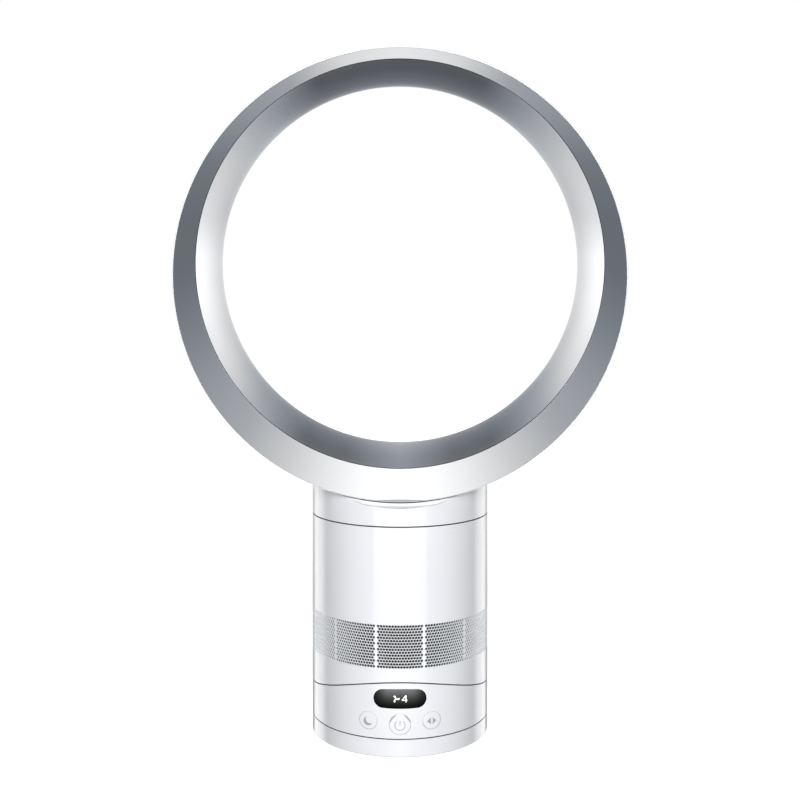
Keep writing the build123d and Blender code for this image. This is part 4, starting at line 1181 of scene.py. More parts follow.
        mesh = surface.mesh("loop_neck_skin")
        # painted shade in the slot under the rim and, more faintly, in the groove
        self.shade_slot(mesh)
        return piece("loop_neck_skin", mesh, self.body, WHITE.material(),
                     ("loop_neck",))

    def groove_drop(self) -> float:
        """Return how far the groove's middle lies under the collar's foot."""
        return 0.6 * self.groove

    def grooved(self, x: Array, y: Array) -> Array:
        """Work out how deep the groove beside the ledge is: it fades out at both of its ends.

        Args:
            x: Places across.
            y: Places in depth.

        Returns:
            Its depth from 0 to 1.
        """
        (start, start_fade), (end, end_fade) = self.groove_ends
        off = np.abs(x)
        begun = np.clip((off - start) / start_fade, 0.0, 1.0)
        return begun * np.clip((end - off) / end_fade, 0.0, 1.0) * (y < 0.0)

    def shade_slot(self, mesh: bpy.types.Mesh) -> None:
        """Mark the faces that get painted shade: the slot under the rim, and the groove at part of
        the strength.

        Args:
            mesh: The neck's mesh, in metres.
        """
        x, y, z = (read(mesh.polygons, "center", 3) / MM).T
        rim, body = self.sizes.rim_depth, self.sizes.body
        inset = body - np.hypot(x, y)
        ahead = (y > rim - self.shade_ahead) & (y < self.shade_end) & (np.abs(x) < self.shade_reach)
        in_shade = (inset > self.shade_inset) & ahead & (z > self.rim_foot(x) - self.shade_depth)
        level = np.abs(z - self.collar_edge(x) + self.groove_drop()) < self.groove / 2
        near, far = self.groove_depths
        groove = (level & (inset > near) & (inset < far)) * self.grooved(x, y)
        share = np.maximum(in_shade, self.groove_shade * groove)
        mark = mesh.attributes.new("shaded_joint", "FLOAT", "FACE")
        mark.data.foreach_set("value", share.astype(np.float32))

    def build(self) -> None:
        """Build every skin of the loop."""
        self.casing()
        self.diffuser()
        self.front_bevel()
        self.neck()


@dataclass
class PerforatedCasing:
    """The round casing of the main body with its twelve fields of pinholes."""

    sizes: Sizes = SIZES
    panels: int = 12
    columns: int = 16
    rows: int = 15
    column_turn: float = 1.813  # degrees from one hole of a row to the next
    row_pitch: float = 2.31
    hole: float = 1.08  # radius of a hole
    grille_middle: float = 88.65  # height of the middle row
    body: str = "main_body"

    def stations(self) -> Array:
        """Place the upright lines, half a column apart in each field.

        Returns:
            Their angles in radians.
        """
        half = radians(self.column_turn) / 2
        steps = 2 * self.columns + 1
        field_angles = (np.arange(steps) - self.columns) * half
        middles = radians(-90.0) + np.arange(self.panels) * 2 * pi / self.panels
        return (middles[:, None] + field_angles).ravel()

    def perforations(self) -> Surface:
        """Build the drilled band.

        Each hole sits in a cell whose border has eight points: four corners and four middles.
        Eight faces join the border to the hole's eight-sided mouth, eight line the hole, and eight
        more close the inner wall. Odd rows are shifted by half a column, so neighbours share
        points.

        Returns:
            The band, inside and out.
        """
        angles = self.stations()
        per_field = 2 * self.columns + 1
        low = self.grille_middle - self.rows * self.row_pitch / 2
        levels = low + np.arange(2 * self.rows + 1) * self.row_pitch / 2
        outer, inner = self.sizes.body, self.sizes.body - self.sizes.wall
        lattice = np.stack(np.broadcast_arrays(
            np.cos(angles)[None, :], np.sin(angles)[None, :], levels[:, None]), axis=-1)
        layers = [lattice * (r, r, 1.0) for r in (outer, inner)]
        count = lattice.shape[0] * lattice.shape[1]
        points = [layer.reshape(-1, 3) for layer in layers]
        node = np.arange(count).reshape(lattice.shape[:2])
        faces: list[Array] = []

        def both(quads: Array) -> None:
            """Add faces to the outer wall and, turned over, to the inner wall.

            Args:
                quads: The outer wall's faces.
            """
            quads = quads.reshape(-1, 4)
            faces.extend([quads, quads[:, ::-1] + count])

        start = 2 * count
        starts = np.arange(self.panels) * per_field
        eighth = np.arange(8) * pi / 4
        mouth = self.hole / cos(pi / 8) ** 0.5
        for row in range(self.rows):
            even = row % 2 == 0
            centres = np.arange(1, per_field - 1, 2) if even else np.arange(2, per_field - 2, 2)
            middle = (starts[:, None] + centres).ravel()
            level = 2 * row + 1
            border = np.stack([
                node[level, middle + 1], node[level + 1, middle + 1], node[level + 1, middle],
                node[level + 1, middle - 1], node[level, middle - 1], node[level - 1, middle - 1],
                node[level - 1, middle], node[level - 1, middle + 1]], axis=1)
            turn = angles[middle][:, None] + mouth * np.cos(eighth) / outer
            height = levels[level] + mouth * np.sin(eighth) + 0 * turn
            rings = [np.stack([r * np.cos(turn), r * np.sin(turn), height], axis=-1)
                     for r in (outer, inner)]
            points += [ring.reshape(-1, 3) for ring in rings]
            size = middle.size * 8
            near = start + np.arange(size).reshape(-1, 8)
            far = near + size
            start += 2 * size
            next_border, next_near, next_far = (
                np.roll(ring, -1, axis=1) for ring in (border, near, far))
            face_out = np.stack([border, next_border, next_near, near], axis=-1)
            lining = np.stack([near, next_near, next_far, far], axis=-1)
            face_in = np.stack([border, far, next_far, next_border], axis=-1)
            face_in[..., 0] += count
            face_in[..., 3] += count
            faces += [face_out.reshape(-1, 4), lining.reshape(-1, 4), face_in.reshape(-1, 4)]
            if not even:
                for left in (starts, starts + per_field - 2):
                    both(self._cell(node, left, left + 1, level))
            last = starts + per_field - 1
            both(self._cell(node, last, (last + 1) % len(angles), level))
        return Surface(np.vstack(points), np.vstack(faces))

    @staticmethod
    def _cell(node: NDArray[np.int64], left: NDArray[np.int64], right: NDArray[np.int64],
              level: int) -> NDArray[np.int64]:
        """Make the two plain faces between two upright lines, below and above a level.

        Args:
            node: The lattice's point numbers.
            left: Upright lines on the left of each pair of faces.
            right: Those on the right.
            level: The row of points between the two faces.

        Returns:
            The faces.
        """
        low = np.stack([node[level - 1, left], node[level - 1, right], node[level, right],
                        node[level, left]], axis=-1)
        high = np.stack([node[level, left], node[level, right], node[level + 1, right],
                         node[level + 1, left]], axis=-1)
        return np.concatenate([low, high])

    def casing(self) -> bpy.types.Object:
        """Build the casing: plain bands over and under the drilled one, with softened seam edges.

        The lower edge follows the seam circle about the tilt axis; the upper edge is level.

        Returns:
            The piece.
        """
        s = self.sizes
        angles = self.stations()
        half = self.rows * self.row_pitch / 2
        low, high = self.grille_middle - half, self.grille_middle + half
        across, ahead = np.cos(angles), np.sin(angles)
        inner = s.body - s.wall
        upper = [(s.body, high)]
        upper += [(s.body - inset, s.casing_top - off) for inset, off in reversed(LEVEL_EDGE)]
        upper += [(inner, s.casing_top), (inner, high)]
        radius, height = (column[:, None] for column in np.array(upper).T)
        top = np.stack(np.broadcast_arrays(radius * across, radius * ahead, height), axis=-1)
        profile = [(inner, None), (inner, 0.0)]
        profile += [(s.body - inset, off) for inset, off in CURVED_EDGE]
        profile += [(s.body, None)]
        strips = []
        for r, lift in profile:
            y = r * ahead
            z = np.full_like(y, low) if lift is None else s.seam_height(s.upper_seam, y) + lift
            strips.append(np.stack([r * across, y, z], axis=-1))
        bottom = np.stack(strips)
        surface = self.perforations().with_(Surface.grid(top, wrap_columns=True),
                                            Surface.grid(bottom, wrap_columns=True))
        mesh = surface.mesh("main_casing_skin")
        return piece("main_casing_skin", mesh, self.body, WHITE.material(),
                     ("main_body_casing",))

    def build(self) -> None:
        """Build the casing."""
        self.casing()


@dataclass
class Base:
    """The foot and the lower body, with the openings for the display and the keys."""

    sizes: Sizes = SIZES
    inlet_height: float = 8.0
    inlet: float = 4.6  # radius of the cord inlet
    skirt: float = 0.25  # gap between the foot's outer edge and the ground
    floor_top: float = 3.3

    def foot(self) -> bpy.types.Object:
        """Build the foot as a turned shell with a soft lower edge and a hole for the cord inlet.

        Returns:
            The piece.
        """
        s = self.sizes
        inner = s.body - s.wall
        corners = np.array([[0.0, s.foot_bottom], [70.0, s.foot_bottom], [71.0, self.skirt],
                            [s.body, self.skirt], [s.body, s.foot_top], [inner, s.foot_top],
                            [inner, self.floor_top], [0.0, self.floor_top]])
        section = held(soften(corners, [0.0, 0.0, 0.0, 1.7, 0.16, 0.3, 0.5, 0.0]))
        mesh = self._turned(section).mesh("foot_skin")
        bore = tube(0.0, self.inlet_height, self.inlet, 62.0, 78.0, 24)
        mesh = cut(mesh, bore.mesh("inlet_tool"))
        round_normals(mesh, s.body)
        return piece("foot_skin", mesh, "foot", WHITE.material(), ("foot_shell",))

    @staticmethod
    def _turned(section: Array) -> Surface:
        """Turn a closed section about the upright axis.

        Args:
            section: Rows of radius and height.

        Returns:
            The turned surface.
        """
        across, ahead = full_turn()
        radius, height = section[:, :1], section[:, 1:]
        parts = np.broadcast_arrays(radius * across, radius * ahead, height)
        return Surface.grid(np.stack(parts, axis=-1), wrap_rows=True, wrap_columns=True)

    def lower_body(self, openings: list[bpy.types.Mesh]) -> bpy.types.Object:
        """Build the lower body, whose upper edge follows the seam circle about the tilt axis.

        Args:
            openings: Shapes to cut out of its front.

        Returns:
            The piece.
        """
        s = self.sizes
        inner = s.body - s.wall
        across, ahead = full_turn()
        low = s.lower_bottom
        rows = [(inner, low)] + [(s.body - inset, low + off) for inset, off in LEVEL_EDGE]
        edge = [(s.body - inset, off) for inset, off in reversed(CURVED_EDGE)] + [(inner, 0.0)]
        strips = [np.stack([r * across, r * ahead, z + 0 * across], axis=-1) for r, z in rows]
        for r, drop in edge:
            y = r * ahead
            strips.append(np.stack([r * across, y, s.seam_height(s.lower_seam, y) - drop], axis=-1))
        surface = Surface.grid(np.stack(strips), wrap_rows=True, wrap_columns=True)
        mesh = cut(surface.mesh("lower_body_skin"), *openings)
        round_normals(mesh, s.body)
        return piece("lower_body_skin", mesh, "lower_body", WHITE.material(),
                     ("lower_body_shell",))


def circle(x: float, z: float, radius: float, steps: int = 96) -> Array:
    """Return a circle's points (x, z), anticlockwise from the right."""
    across, up = full_turn(steps)
    return np.stack([x + radius * across, z + radius * up], axis=1)


def stadium(x: float, z: float, width: float, height: float, bow: float = 0.35,
            steps: int = 48) -> Array:
    """Draw a stadium: two half circles joined by lines that bow out by b (1 - t t).

    Args:
        x: Its middle across.
        z: Its middle in height.
        width: Its whole width.
        height: Its height, without the bow.
        bow: The bow b of its long sides.
        steps: Points round each half circle.

    Returns:
        The points (x, z), anticlockwise.
    """
    radius = height / 2
    reach = width / 2 - radius
    right = np.linspace(-pi / 2, pi / 2, steps)
    left = right + pi
    span = np.linspace(-reach, reach, 24)[1:-1]
    swell = radius + bow * (1 - (span / reach) ** 2)
    top = np.stack([span[::-1], swell], axis=1)
    bottom = np.stack([span, -swell], axis=1)
    return np.array([x, z]) + np.vstack([
        np.stack([reach + radius * np.cos(right), radius * np.sin(right)], axis=1), top,
        np.stack([-reach + radius * np.cos(left), radius * np.sin(left)], axis=1), bottom])


def prism(outline: Array, front: float, back: float) -> Surface:
    """Run a closed outline along Y and close both ends onto their middle points.

    Args:
        outline: The outline as (x, z).
        front: Depth of the front end.
        back: Depth of the back end.

    Returns:
        A closed bar.
    """
    centre = outline.mean(axis=0)
    spot = np.tile(centre, (len(outline), 1))
    rows = [(spot, front), (outline, front), (outline, back), (spot, back)]
    points = [np.stack([flat[:, 0], np.full(len(flat), y), flat[:, 1]], axis=-1)
              for flat, y in rows]
    return Surface.grid(np.stack(points), wrap_columns=True)


def tube(x: float, z: float, radius: float, front: float, back: float, steps: int) -> Surface:
    """Return a round bar along Y."""
    return prism(circle(x, z, radius, steps), front, back)


def crowned(outline: Array, skin: float, thickness: float, edge: float = 0.3) -> Surface:
    """Build a cap that follows the round body, with a softened edge.

    The outline is drawn in towards its middle by the share k. On the front k falls from 1 to 0 on
    the skin itself; near the edge the surface falls back by edge (1 - sin a) as a goes from 90
    degrees to nought.

    Args:
        outline: The cap's outline as (x, z).
        skin: Radius of the face.
        thickness: Depth of the side wall.
        edge: Size of the softened edge.

    Returns:
        A closed cap.
    """
    centre = outline.mean(axis=0)
    offset = outline - centre
    size = np.linalg.norm(offset, axis=1).min()
    quarter = np.linspace(0.0, pi / 2, 6)
    shares = [0.0, 1.0, 1.0]
    depths = [thickness, thickness, edge]
    shares += list(1 - edge / size * (1 - np.cos(quarter[1:])))
    depths += list(edge * (1 - np.sin(quarter[1:])))
    inside = np.linspace(shares[-1], 0.0, 8)[1:]
    shares += list(inside)
    depths += [0.0] * len(inside)
    flat = centre + offset[None] * np.array(shares)[:, None, None]
    return Surface.grid(on_body(flat, np.array(depths)[:, None], skin), wrap_columns=True)


def ribbon(left: Array, right: Array, across: int = 3) -> Array:
    """Fill the space between two curves with the straight lines from one to the other."""
    t = np.linspace(0.0, 1.0, across + 1)[None, :, None]
    return left[:, None] * (1 - t) + right[:, None] * t


def band(x: float, z: float, inner: Array | float, outer: Array | float, start: float, end: float,
         steps: int = 64) -> Array:
    """Draw a part of a ring, whose radii may vary along it.

    Args:
        x: The ring's middle across.
        z: Its middle in height.
        inner: Its inner radius.
        outer: Its outer radius.
        start: The angle in degrees at which it starts.
        end: The angle at which it ends.
        steps: Points along it.

    Returns:
        A grid of (x, z) points.
    """
    angle = np.radians(np.linspace(start, end, steps))
    unit = np.stack([np.cos(angle), np.sin(angle)], axis=1)
    centre = np.array([x, z])
    inner, outer = (np.broadcast_to(np.asarray(radius, float), (steps,))[:, None]
                    for radius in (inner, outer))
    return ribbon(centre + unit * inner, centre + unit * outer)


def bar(x: float, z: float, width: float, height: float) -> Array:
    """Draw an upright bar.

    Args:
        x: Its middle across.
        z: Its middle in height.
        width: Its width.
        height: Its height.

    Returns:
        A grid of (x, z) points.
    """
    rise = np.linspace(z - height / 2, z + height / 2, 6)
    left = np.stack([np.full_like(rise, x - width / 2), rise], axis=1)
    return ribbon(left, left + (width, 0.0))


PROUD = 0.02  # how far a printed mark's underside stands off the skin


def printed(name: str, patches: list[Array], skin: float, body: str,
            finish: Finish, lift: float = 0.03) -> bpy.types.Object:
    """Lay flat marks just proud of the round front, as a film with a little thickness.

    Args:
        name: The piece's name.
        patches: Grids of (x, z) points.
        skin: Radius of the face that they lie on.
        body: The CAD body that carries them.
        finish: Their finish.
        lift: Thickness of the film.

    Returns:
        The piece.
    """
    sheets = [Surface.grid(on_body(patch, -PROUD, skin)) for patch in patches]
    mesh = sheets[0].with_(*sheets[1:]).mesh(name, turn_out=False)
    shape = bmesh.new()
    shape.from_mesh(mesh)
    wrong = [face for face in shape.faces if face.normal.y > 0]
    bmesh.ops.reverse_faces(shape, faces=wrong)
    shape.to_mesh(mesh)
    shape.free()
    thing = piece(name, mesh, body, finish.material())
    film = thing.modifiers.new("film", "SOLIDIFY")
    film.thickness = lift * MM
    film.offset = 1.0
    return thing


@dataclass
class Controls:
    """The display and the three keys with their symbols."""

    display_height: float = 47.3
    display_size: tuple[float, float] = (2 * SIZES.body * sin(radians(16.6)), 15.1)
    display_gap: float = 0.2
    display_skin: float = SIZES.body - 0.15
    side_x: float = SIZES.body * sin(radians(20.0))
    side_z: float = 28.8
    side_radius: float = 7.15
    power_z: float = 27.0
    power_radius: float = 8.6
    gap: float = 0.11  # between a cap and its hole
    sign_z: float = 26.3  # middle of the power sign's open ring, and its two radii
    sign_ring: tuple[float, float] = (3.65, 4.4)
    arc: float = 8.2  # radius of the tapered arcs of painted shade round it
    arc_span: float = 58.0  # how many degrees each one takes, and where they start
    arc_starts: tuple[float, float] = (9.0, 113.0)
    cap_skin: float = 73.42  # radius on which the caps' faces lie
    cap_depth: float = 6.0
    cutter: tuple[float, float] = (-85.0, -60.0)  # depths between which the openings are cut

    def openings(self) -> list[bpy.types.Mesh]:
        """Shape what is cut out of the lower body.

        Returns:
            The display's opening and the three keys' holes.
        """
        shapes = [prism(stadium(0.0, self.display_height, *self.display_size), *self.cutter)]
        for x, z, radius in self._keys():
            shapes.append(tube(x, z, radius, *self.cutter, 96))
        return [shape.mesh(f"opening_{index}") for index, shape in enumerate(shapes)]

    def _keys(self) -> list[tuple[float, float, float]]:
        """Place the power, timer and swing keys' holes.

        Returns:
            The middle across, the middle in height and the radius of each.
        """
        return [(0.0, self.power_z, self.power_radius),
                (-self.side_x, self.side_z, self.side_radius),
                (self.side_x, self.side_z, self.side_radius)]

    def keys(self) -> None:
        """Build the three caps."""
        names = ("power_key", "timer_key", "swing_key")
        for name, (x, z, radius) in zip(names, self._keys()):
            cap = crowned(circle(x, z, radius - self.gap), self.cap_skin, self.cap_depth)
            piece(f"{name}_cap", cap.mesh(f"{name}_cap"), name, WHITE.material(),
                  (name,))

    def moon(self) -> Array:
        """Draw a moon between a bulging arc and a hollow one that ends on its two tips.

        Returns:
            A grid of (x, z) points.
        """
        bulge = np.radians(np.linspace(112.0, 338.0, 40))
        hollow_centre = np.array([1.75, 1.45])
        outer = np.stack([np.cos(bulge), np.sin(bulge)], axis=1) * 3.55
        tips = outer[[0, -1]] - hollow_centre
        ends = np.unwrap(np.arctan2(tips[:, 1], tips[:, 0]))
        sweep = np.linspace(ends[0], ends[1] if ends[1] > ends[0] else ends[1] + 2 * pi, 40)
        radii = np.linspace(np.linalg.norm(tips[0]), np.linalg.norm(tips[1]), 40)[:, None]
        inner = hollow_centre + np.stack([np.cos(sweep), np.sin(sweep)], axis=1) * radii
        return ribbon(outer, inner, 4) + np.array([-self.side_x - 0.2, self.side_z - 0.5])

    def arrows(self) -> list[Array]:
        """Draw two arrow heads that point away from each other.

        Returns:
            Their grids of (x, z) points.
        """
        heads = []
        for side in (-1.0, 1.0):
            rise = np.linspace(-2.7, 2.7, 12)
            base = np.stack([np.full_like(rise, side * 0.8), rise], axis=1)
            tip = np.stack([np.full_like(rise, side * 3.6), rise * 0.04], axis=1)
            heads.append(ribbon(base, tip, 4) + np.array([self.side_x, self.side_z - 0.5]))
        return heads

    def symbols(self) -> None:
        """Print the moon, the pair of arrows and the power sign, with two tapered arcs of painted
        shade round it.
        """
        printed("moon_symbol", [self.moon()], self.cap_skin, "timer_key", INK)
        printed("swing_symbol", self.arrows(), self.cap_skin, "swing_key", INK)
        sign = [band(0.0, self.sign_z, *self.sign_ring, 130.0, 410.0), bar(0.0, 28.0, 0.75, 3.9)]
        printed("power_symbol", sign, self.cap_skin, "power_key", PALE_INK)
        # painted shade: two tapered arcs round the power key, laid like print
        taper = 0.2 + 0.85 * np.sin(pi * np.linspace(0.0, 1.0, 40)) ** 0.45
        arcs = [band(0.0, self.power_z, self.arc - taper, self.arc, start,
                     start + self.arc_span, 40) for start in self.arc_starts]
        printed("power_arc_shade", arcs, self.cap_skin, "power_key", ARC_SHADE)

    @staticmethod
    def fan_sign(x: float, z: float) -> list[Array]:
        """Draw a fan of three bent blades about a hub.

        Args:
            x: Its middle across.
            z: Its middle in height.

        Returns:
            Its grids of (x, z) points.
        """
        marks = []
        along = np.linspace(0.0, 1.0, 14)
        for turn in (88.0, 208.0, 328.0):
            reach = 0.4 + 2.5 * along
            swell = 0.15 + 0.95 * np.sin(pi * along * 0.82)
            bend = radians(turn) + 0.55 * along
            spine = np.stack([np.cos(bend), np.sin(bend)], axis=1) * reach[:, None]
            side = np.stack([-np.sin(bend), np.cos(bend)], axis=1) * swell[:, None]
            marks.append(ribbon(spine - side * 0.35, spine + side, 3) + np.array([x, z]))
        marks.append(band(x, z, 0.02, 0.62, 0.0, 360.0, 24))
        return marks

    @staticmethod
    def four(x: float, z: float) -> list[Array]:
        """Draw the figure 4: an upright, a slanted stroke and a level one.

        Args:
            x: Its middle across.
            z: Its middle in height.

        Returns:
            Its grids of (x, z) points.
        """
        top = np.array([[x + 0.55, z + 2.85], [x + 1.35, z + 2.85]])
        foot = np.array([[x - 2.2, z - 0.8], [x - 1.45, z - 0.8]])
        level = np.array([[x - 2.2, z - 1.5], [x + 2.15, z - 1.5]])
        return [bar(x + 1.0, z, 0.75, 5.7), ribbon(top, foot, 6),
                ribbon(level, level + np.array([0.0, 0.72]), 3)]

    def display(self) -> None:
        """Build the black window and the lit marks on its face."""
        width, height = (size - self.display_gap for size in self.display_size)
        outline = stadium(0.0, self.display_height, width, height)
        window = crowned(outline, self.display_skin, 2.4, 0.35)
        piece("display_window", window.mesh("display_window"), "lower_body",
              GLASS.material(), ("display_lens",))
        z = self.display_height + 0.05
        marks = self.fan_sign(-3.2, z) + self.four(3.7, z)
        printed("display_marks", marks, self.display_skin, "lower_body", LIGHT)

    def build(self) -> None:
        """Build the keys, their symbols and the display."""
        self.keys()
        self.symbols()
        self.display()


@dataclass
class Innards:
    """The CAD nodes that stay as they are, and their finishes."""

    finishes: dict[str, Finish] = field(default_factory=lambda: {
        "foot_pad_ring": GREY_RUBBER, "cord_grommet": GREY_RUBBER, "gear_sector": NATURAL,
        "foot_spindle": STEEL, "spindle_retainer": STEEL, "turntable_washer": NATURAL,
        "lower_chassis": PALE_GREY, "tilt_cradle": PALE_GREY, "tilt_friction_pads": RUBBER,
        "cradle_screws": STEEL, "display_module": CHARCOAL, "display_board": BOARD,
        "control_board": BOARD, "tact_switches": CHARCOAL, "oscillation_motor": STEEL,
        "oscillation_motor_screws": STEEL, "oscillation_pinion": NATURAL, "tilt_shoe": PALE_GREY,
        "tilt_retainers": STEEL, "retainer_screws": STEEL, "intake_deck": CHARCOAL,
        "intake_mesh": MESH, "inlet_foam": FOAM, "impeller_housing": CHARCOAL,
        "housing_mounts": RUBBER, "duct_seal": RUBBER, "motor_bucket_lower": CHARCOAL,
        "motor_bucket_upper": CHARCOAL, "diffuser_vanes": CHARCOAL, "motor_end_bracket": STEEL,
        "motor_stator": COPPER, "motor_bearings": STEEL, "motor_board": BOARD,
        "top_collar": PALE_GREY, "loop_gasket": RUBBER, "impeller": NATURAL, "motor_shaft": STEEL,
        "rotor_magnet": MAGNET, "impeller_nut": STEEL, "display_lens": GLASS,
        "loop_inner_casing": SILVER, "loop_front_bezel": SILVER,
    })

    def build(self) -> None:
        """Give every CAD node its finish, which is white lacquer on those not listed."""
        for name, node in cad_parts.items():
            finish = self.finishes.get(name, WHITE)
            if not node.material_slots:
                node.data.materials.append(finish.material())
            for slot in node.material_slots:
                slot.material = finish.material()
            log.info("%-24s keeps its shape, finish %s", name, finish.name)


# ---------------------------------------------------------------- studio


@dataclass
class Studio:
    """Floor, reflections, lamps and camera."""

    camera_place: tuple[float, float, float] = (0.0, -1.0734, 0.3849)
    lens: float = 57.874
    shift: float = -0.09495
    pitch: float = 2.4
    ambient: float = 0.02  # the world's light where it is neither seen nor reflected
    softbox: float = 1.7  # strength of the bright field low ahead,
    top_box: float = 4.5  # of the one above and behind,
    side_wall: float = 1.9  # and of the side walls near the horizon
    peak: float = 2.0  # the strongest light that a table below may give
    dome_radius: float = 9000.0
    dome_height: float = 300.0
    floor_edge: float = 30000.0
    front_light: tuple[tuple[float, float], ...] = (
        (-90, 1.6), (-75, 1.22), (-60, 0.82), (-45, 0.53), (-30, 0.425), (-15, 0.30), (0, 0.215),
        (15, 0.211), (30, 0.255), (45, 0.40), (60, 0.52), (75, 0.96), (90, 1.06))
    rear_light: tuple[tuple[float, float], ...] = (
        (-90, 0.11), (-65, 0.105), (-45, 0.46), (-30, 0.73), (-12, 0.94), (0, 1.36), (12, 1.30),
        (30, 0.92), (45, 0.50), (62, 0.155), (75, 0.175), (90, 0.38))
    deep_light: tuple[tuple[float, float], ...] = (
        (-90, 0.25), (-75, 0.25), (-60, 0.25), (-45, 0.50), (-30, 0.57), (-15, 0.49), (0, 0.54),
        (15, 0.53), (30, 0.47), (45, 0.33), (60, 0.285), (75, 0.325), (90, 0.58))

    def camera(self) -> None:
        """Place a camera ahead of the fan that looks down a little, its picture shifted down."""
        data = bpy.data.cameras.new("front_camera")
        data.lens, data.sensor_width, data.shift_y = self.lens, 36.0, self.shift
        data.clip_start, data.clip_end = 0.05, 60.0
        camera = linked("front_camera", data)
        camera.location = self.camera_place
        camera.rotation_euler = (radians(90.0 - self.pitch), 0.0, 0.0)
        bpy.context.scene.camera = camera

    def world(self) -> None:
        """Light the scene evenly, and show plain white behind it."""
        world = bpy.data.worlds.new("studio")
        bpy.context.scene.world = world
        g = clean_graph(world)
        path = g.node("ShaderNodeLightPath")
        seen = g.maths("MAXIMUM", path.outputs["Is Camera Ray"], path.outputs["Is Glossy Ray"])
        seen = g.maths("MAXIMUM", seen, path.outputs["Is Transmission Ray"])
        strength = g.spread(seen, 0.0, 1.0, self.ambient, 1.0, "LINEAR")
        glow = g.node("ShaderNodeBackground", {"Color": (1.0, 1.0, 1.0, 1.0), "Strength": strength})
        g.node("ShaderNodeOutputWorld", {"Surface": glow.outputs[0]})

    def floor(self) -> None:
        """Lay a pale floor that shows white where no shadow falls."""
        side = np.linspace(-self.floor_edge, self.floor_edge, 3)
        x, y = np.meshgrid(side, side)
        mesh = Surface.grid(np.stack([x, y, 0 * x], axis=-1)).mesh("floor", turn_out=False)
        thing = linked("floor", mesh)
        material = bpy.data.materials.new("studio_floor")
        g = clean_graph(material)
        path = g.node("ShaderNodeLightPath")
        seen = g.maths("MAXIMUM", path.outputs["Is Camera Ray"],
                       path.outputs["Is Transmission Ray"])
        away = g.node("ShaderNodeVectorMath", {0: g.place()}, operation="LENGTH")
        glow = g.maths("MULTIPLY", seen, g.spread(away.outputs["Value"], 0.12, 0.9, 0.82, 1.0))
        shader = g.node("ShaderNodeBsdfPrincipled", {
            "Base Color": (0.5, 0.5, 0.505, 1.0), "Roughness": 0.9, "Specular IOR Level": 0.0,
            "Emission Color": (1.0, 1.0, 1.0, 1.0), "Emission Strength": glow})
        g.node("ShaderNodeOutputMaterial", {"Surface": shader.outputs[0]})
        mesh.materials.append(material)
        thing.visible_glossy = False

    def _by_roll(self, g: Graph, roll: bpy.types.NodeSocket,
                 stops: tuple[tuple[float, float], ...]) -> bpy.types.NodeSocket:
        """Make a light that follows the roll.

        Args:
            g: The dome's graph.
            roll: The roll in degrees, from -90 to 90.
            stops: Rolls in degrees and the strength at each, up to the peak.

        Returns:
            The light's strength.
        """
        share = g.maths("MULTIPLY_ADD", roll, 1 / 180, 0.5)
        made = g.node("ShaderNodeValToRGB", {0: share})
        elements = made.color_ramp.elements
        while len(elements) < len(stops):
            elements.new(0.5)
        for element, (degrees, strength) in zip(elements, stops):
            element.position = degrees / 180 + 0.5
            element.color = (*[strength / self.peak] * 3, 1.0)
        return g.maths("MULTIPLY", made.outputs[0], self.peak)

    def dome(self) -> None:
        """Hang a dome far around the fan that only reflections see.

        A direction (x, y, z) has the bearing a = atan2(|x|, -y), nought ahead and 180 degrees
        behind, and the roll b = atan2(z, |x|), from -90 degrees straight down to 90 straight up.
        Ahead and behind, the light follows the roll; between them stand two bright side walls; the
        softbox is a bright field low ahead, and another one hangs above and behind.
        """
        across, along = full_turn(64)
        rise = np.linspace(-pi / 2, pi / 2, 33)[:, None]
        x = self.dome_radius * np.cos(rise) * across
        y = self.dome_radius * np.cos(rise) * along
        z = self.dome_radius * np.sin(rise) + self.dome_height + 0 * across
        mesh = Surface.grid(np.stack([x, y, z], axis=-1), wrap_columns=True).mesh("dome")
        thing = linked("dome", mesh)
        material = bpy.data.materials.new("studio_dome")
        g = clean_graph(material)
        level = g.node("ShaderNodeMapping", {
            "Vector": g.place(), "Location": (0.0, 0.0, -self.dome_height * MM)})
        way = g.node("ShaderNodeVectorMath", {0: level.outputs[0]}, operation="NORMALIZE")
        parts = g.node("ShaderNodeSeparateXYZ", {0: way.outputs[0]})
        side = g.maths("ABSOLUTE", parts.outputs[0])
        forward, up = g.maths("MULTIPLY", parts.outputs[1], -1.0), parts.outputs[2]
        bearing = g.maths("DEGREES", g.maths("ARCTAN2", side, forward))
        roll = g.maths("DEGREES", g.maths("ARCTAN2", up, side))
        height = g.maths("DEGREES", g.maths("ARCSINE", up))
        from_front = g.maths("DEGREES", g.maths("ARCCOSINE", forward))

        front = self._by_roll(g, roll, self.front_light)
        rear = self._by_roll(g, roll, self.rear_light)
        deep = self._by_roll(g, roll, self.deep_light)
        rear = g.fade(g.spread(from_front, 151.5, 160.5, 0.0, 0.66, "LINEAR"), rear, deep)
        rear = g.fade(g.spread(from_front, 161.0, 166.0), rear, 1.0)
        wall = g.spread(g.maths("ABSOLUTE", height), 24.0, 40.0, self.side_wall, 0.9)
        rear = g.fade(g.spread(from_front, 147.0, 141.0), rear, wall)
        front = g.maths("MULTIPLY", front, g.spread(bearing, 66.0, 84.0, 1.0, 0.3))
        room = g.fade(g.spread(bearing, 107.0, 125.0), front, rear)

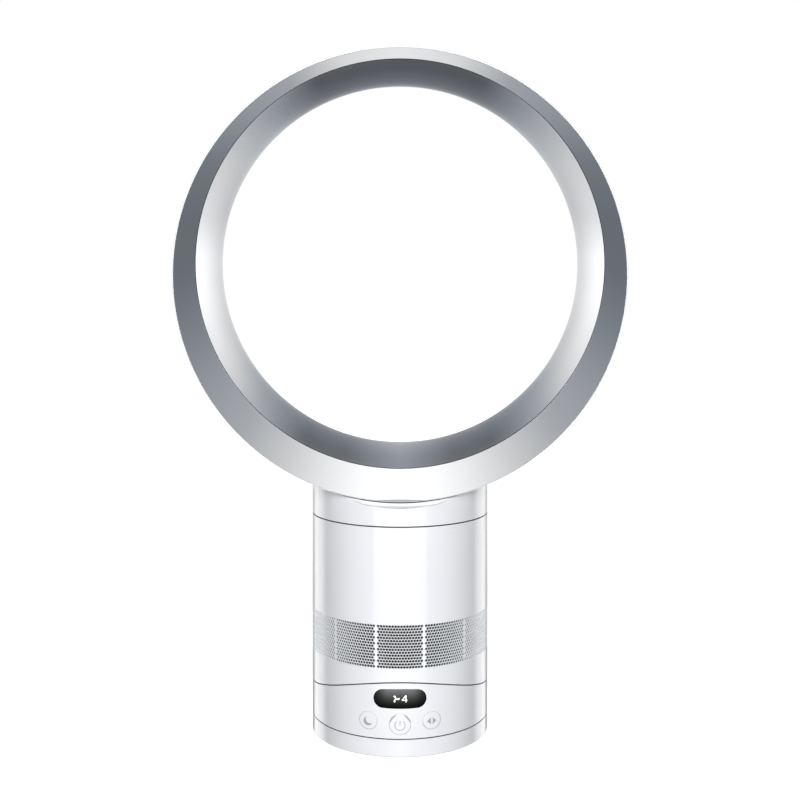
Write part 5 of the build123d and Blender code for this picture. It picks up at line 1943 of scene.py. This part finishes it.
        box_across = g.spread(bearing, 33.3, 34.6, 1.0, 0.0)
        box_low = g.spread(height, -21.2, -19.9)
        box_high = g.spread(height, -6.0, 0.0, 1.0, 0.0)
        box = g.maths("MULTIPLY", box_across, g.maths("MULTIPLY", box_low, box_high))
        past = g.spread(from_front, 96.0, 101.0)
        above = g.maths("MULTIPLY", past, g.spread(height, 50.0, 58.0))
        value = g.fade(box, g.fade(above, room, self.top_box), self.softbox)
        cool = g.blend(g.spread(value, 0.1, 0.9), (0.86, 0.93, 1.06), (1.0, 1.0, 1.0))
        glow = g.node("ShaderNodeEmission", {"Color": cool, "Strength": value})
        g.node("ShaderNodeOutputMaterial", {"Surface": glow.outputs[0]})
        mesh.materials.append(material)
        thing.visible_camera = False
        thing.visible_diffuse = False
        thing.visible_shadow = False

    def lamps(self) -> None:
        """Hang a broad soft key ahead, a weak one overhead and one behind each side."""
        for name, place, size, energy, aim in (
            ("front_key", (0.0, -2.6, 0.85), 1.7, 83.5, (77.0, 0.0)),
            ("top_fill", (0.0, -0.3, 2.4), 2.2, 6.0, (0.0, 0.0)),
            ("left_rim", (-1.3, 2.2, 0.5), 0.9, 38.0, (90.0, 210.6)),
            ("right_rim", (1.3, 2.2, 0.5), 0.9, 38.0, (90.0, 149.4)),
        ):
            data = bpy.data.lights.new(name, "AREA")
            data.shape, data.size, data.energy = "SQUARE", size, energy
            lamp = linked(name, data)
            tilt, turn = aim
            lamp.location, lamp.rotation_euler = place, (radians(tilt), 0.0, radians(turn))
            lamp.visible_glossy = lamp.visible_camera = False

    def build(self) -> None:
        """Set up the whole studio."""
        bpy.context.scene.view_settings.view_transform = "Standard"
        self.camera()
        self.world()
        self.floor()
        self.dome()
        self.lamps()


def main() -> None:
    """Build the fan's sub-assemblies in order and dress them."""
    logging.basicConfig(level=logging.INFO, format="%(message)s")
    build_effects()
    Studio().build()
    Loop().build()
    PerforatedCasing().build()
    controls, base = Controls(), Base()
    base.foot()
    base.lower_body(controls.openings())
    controls.build()
    Innards().build()


if __name__ == "__main__":
    main()
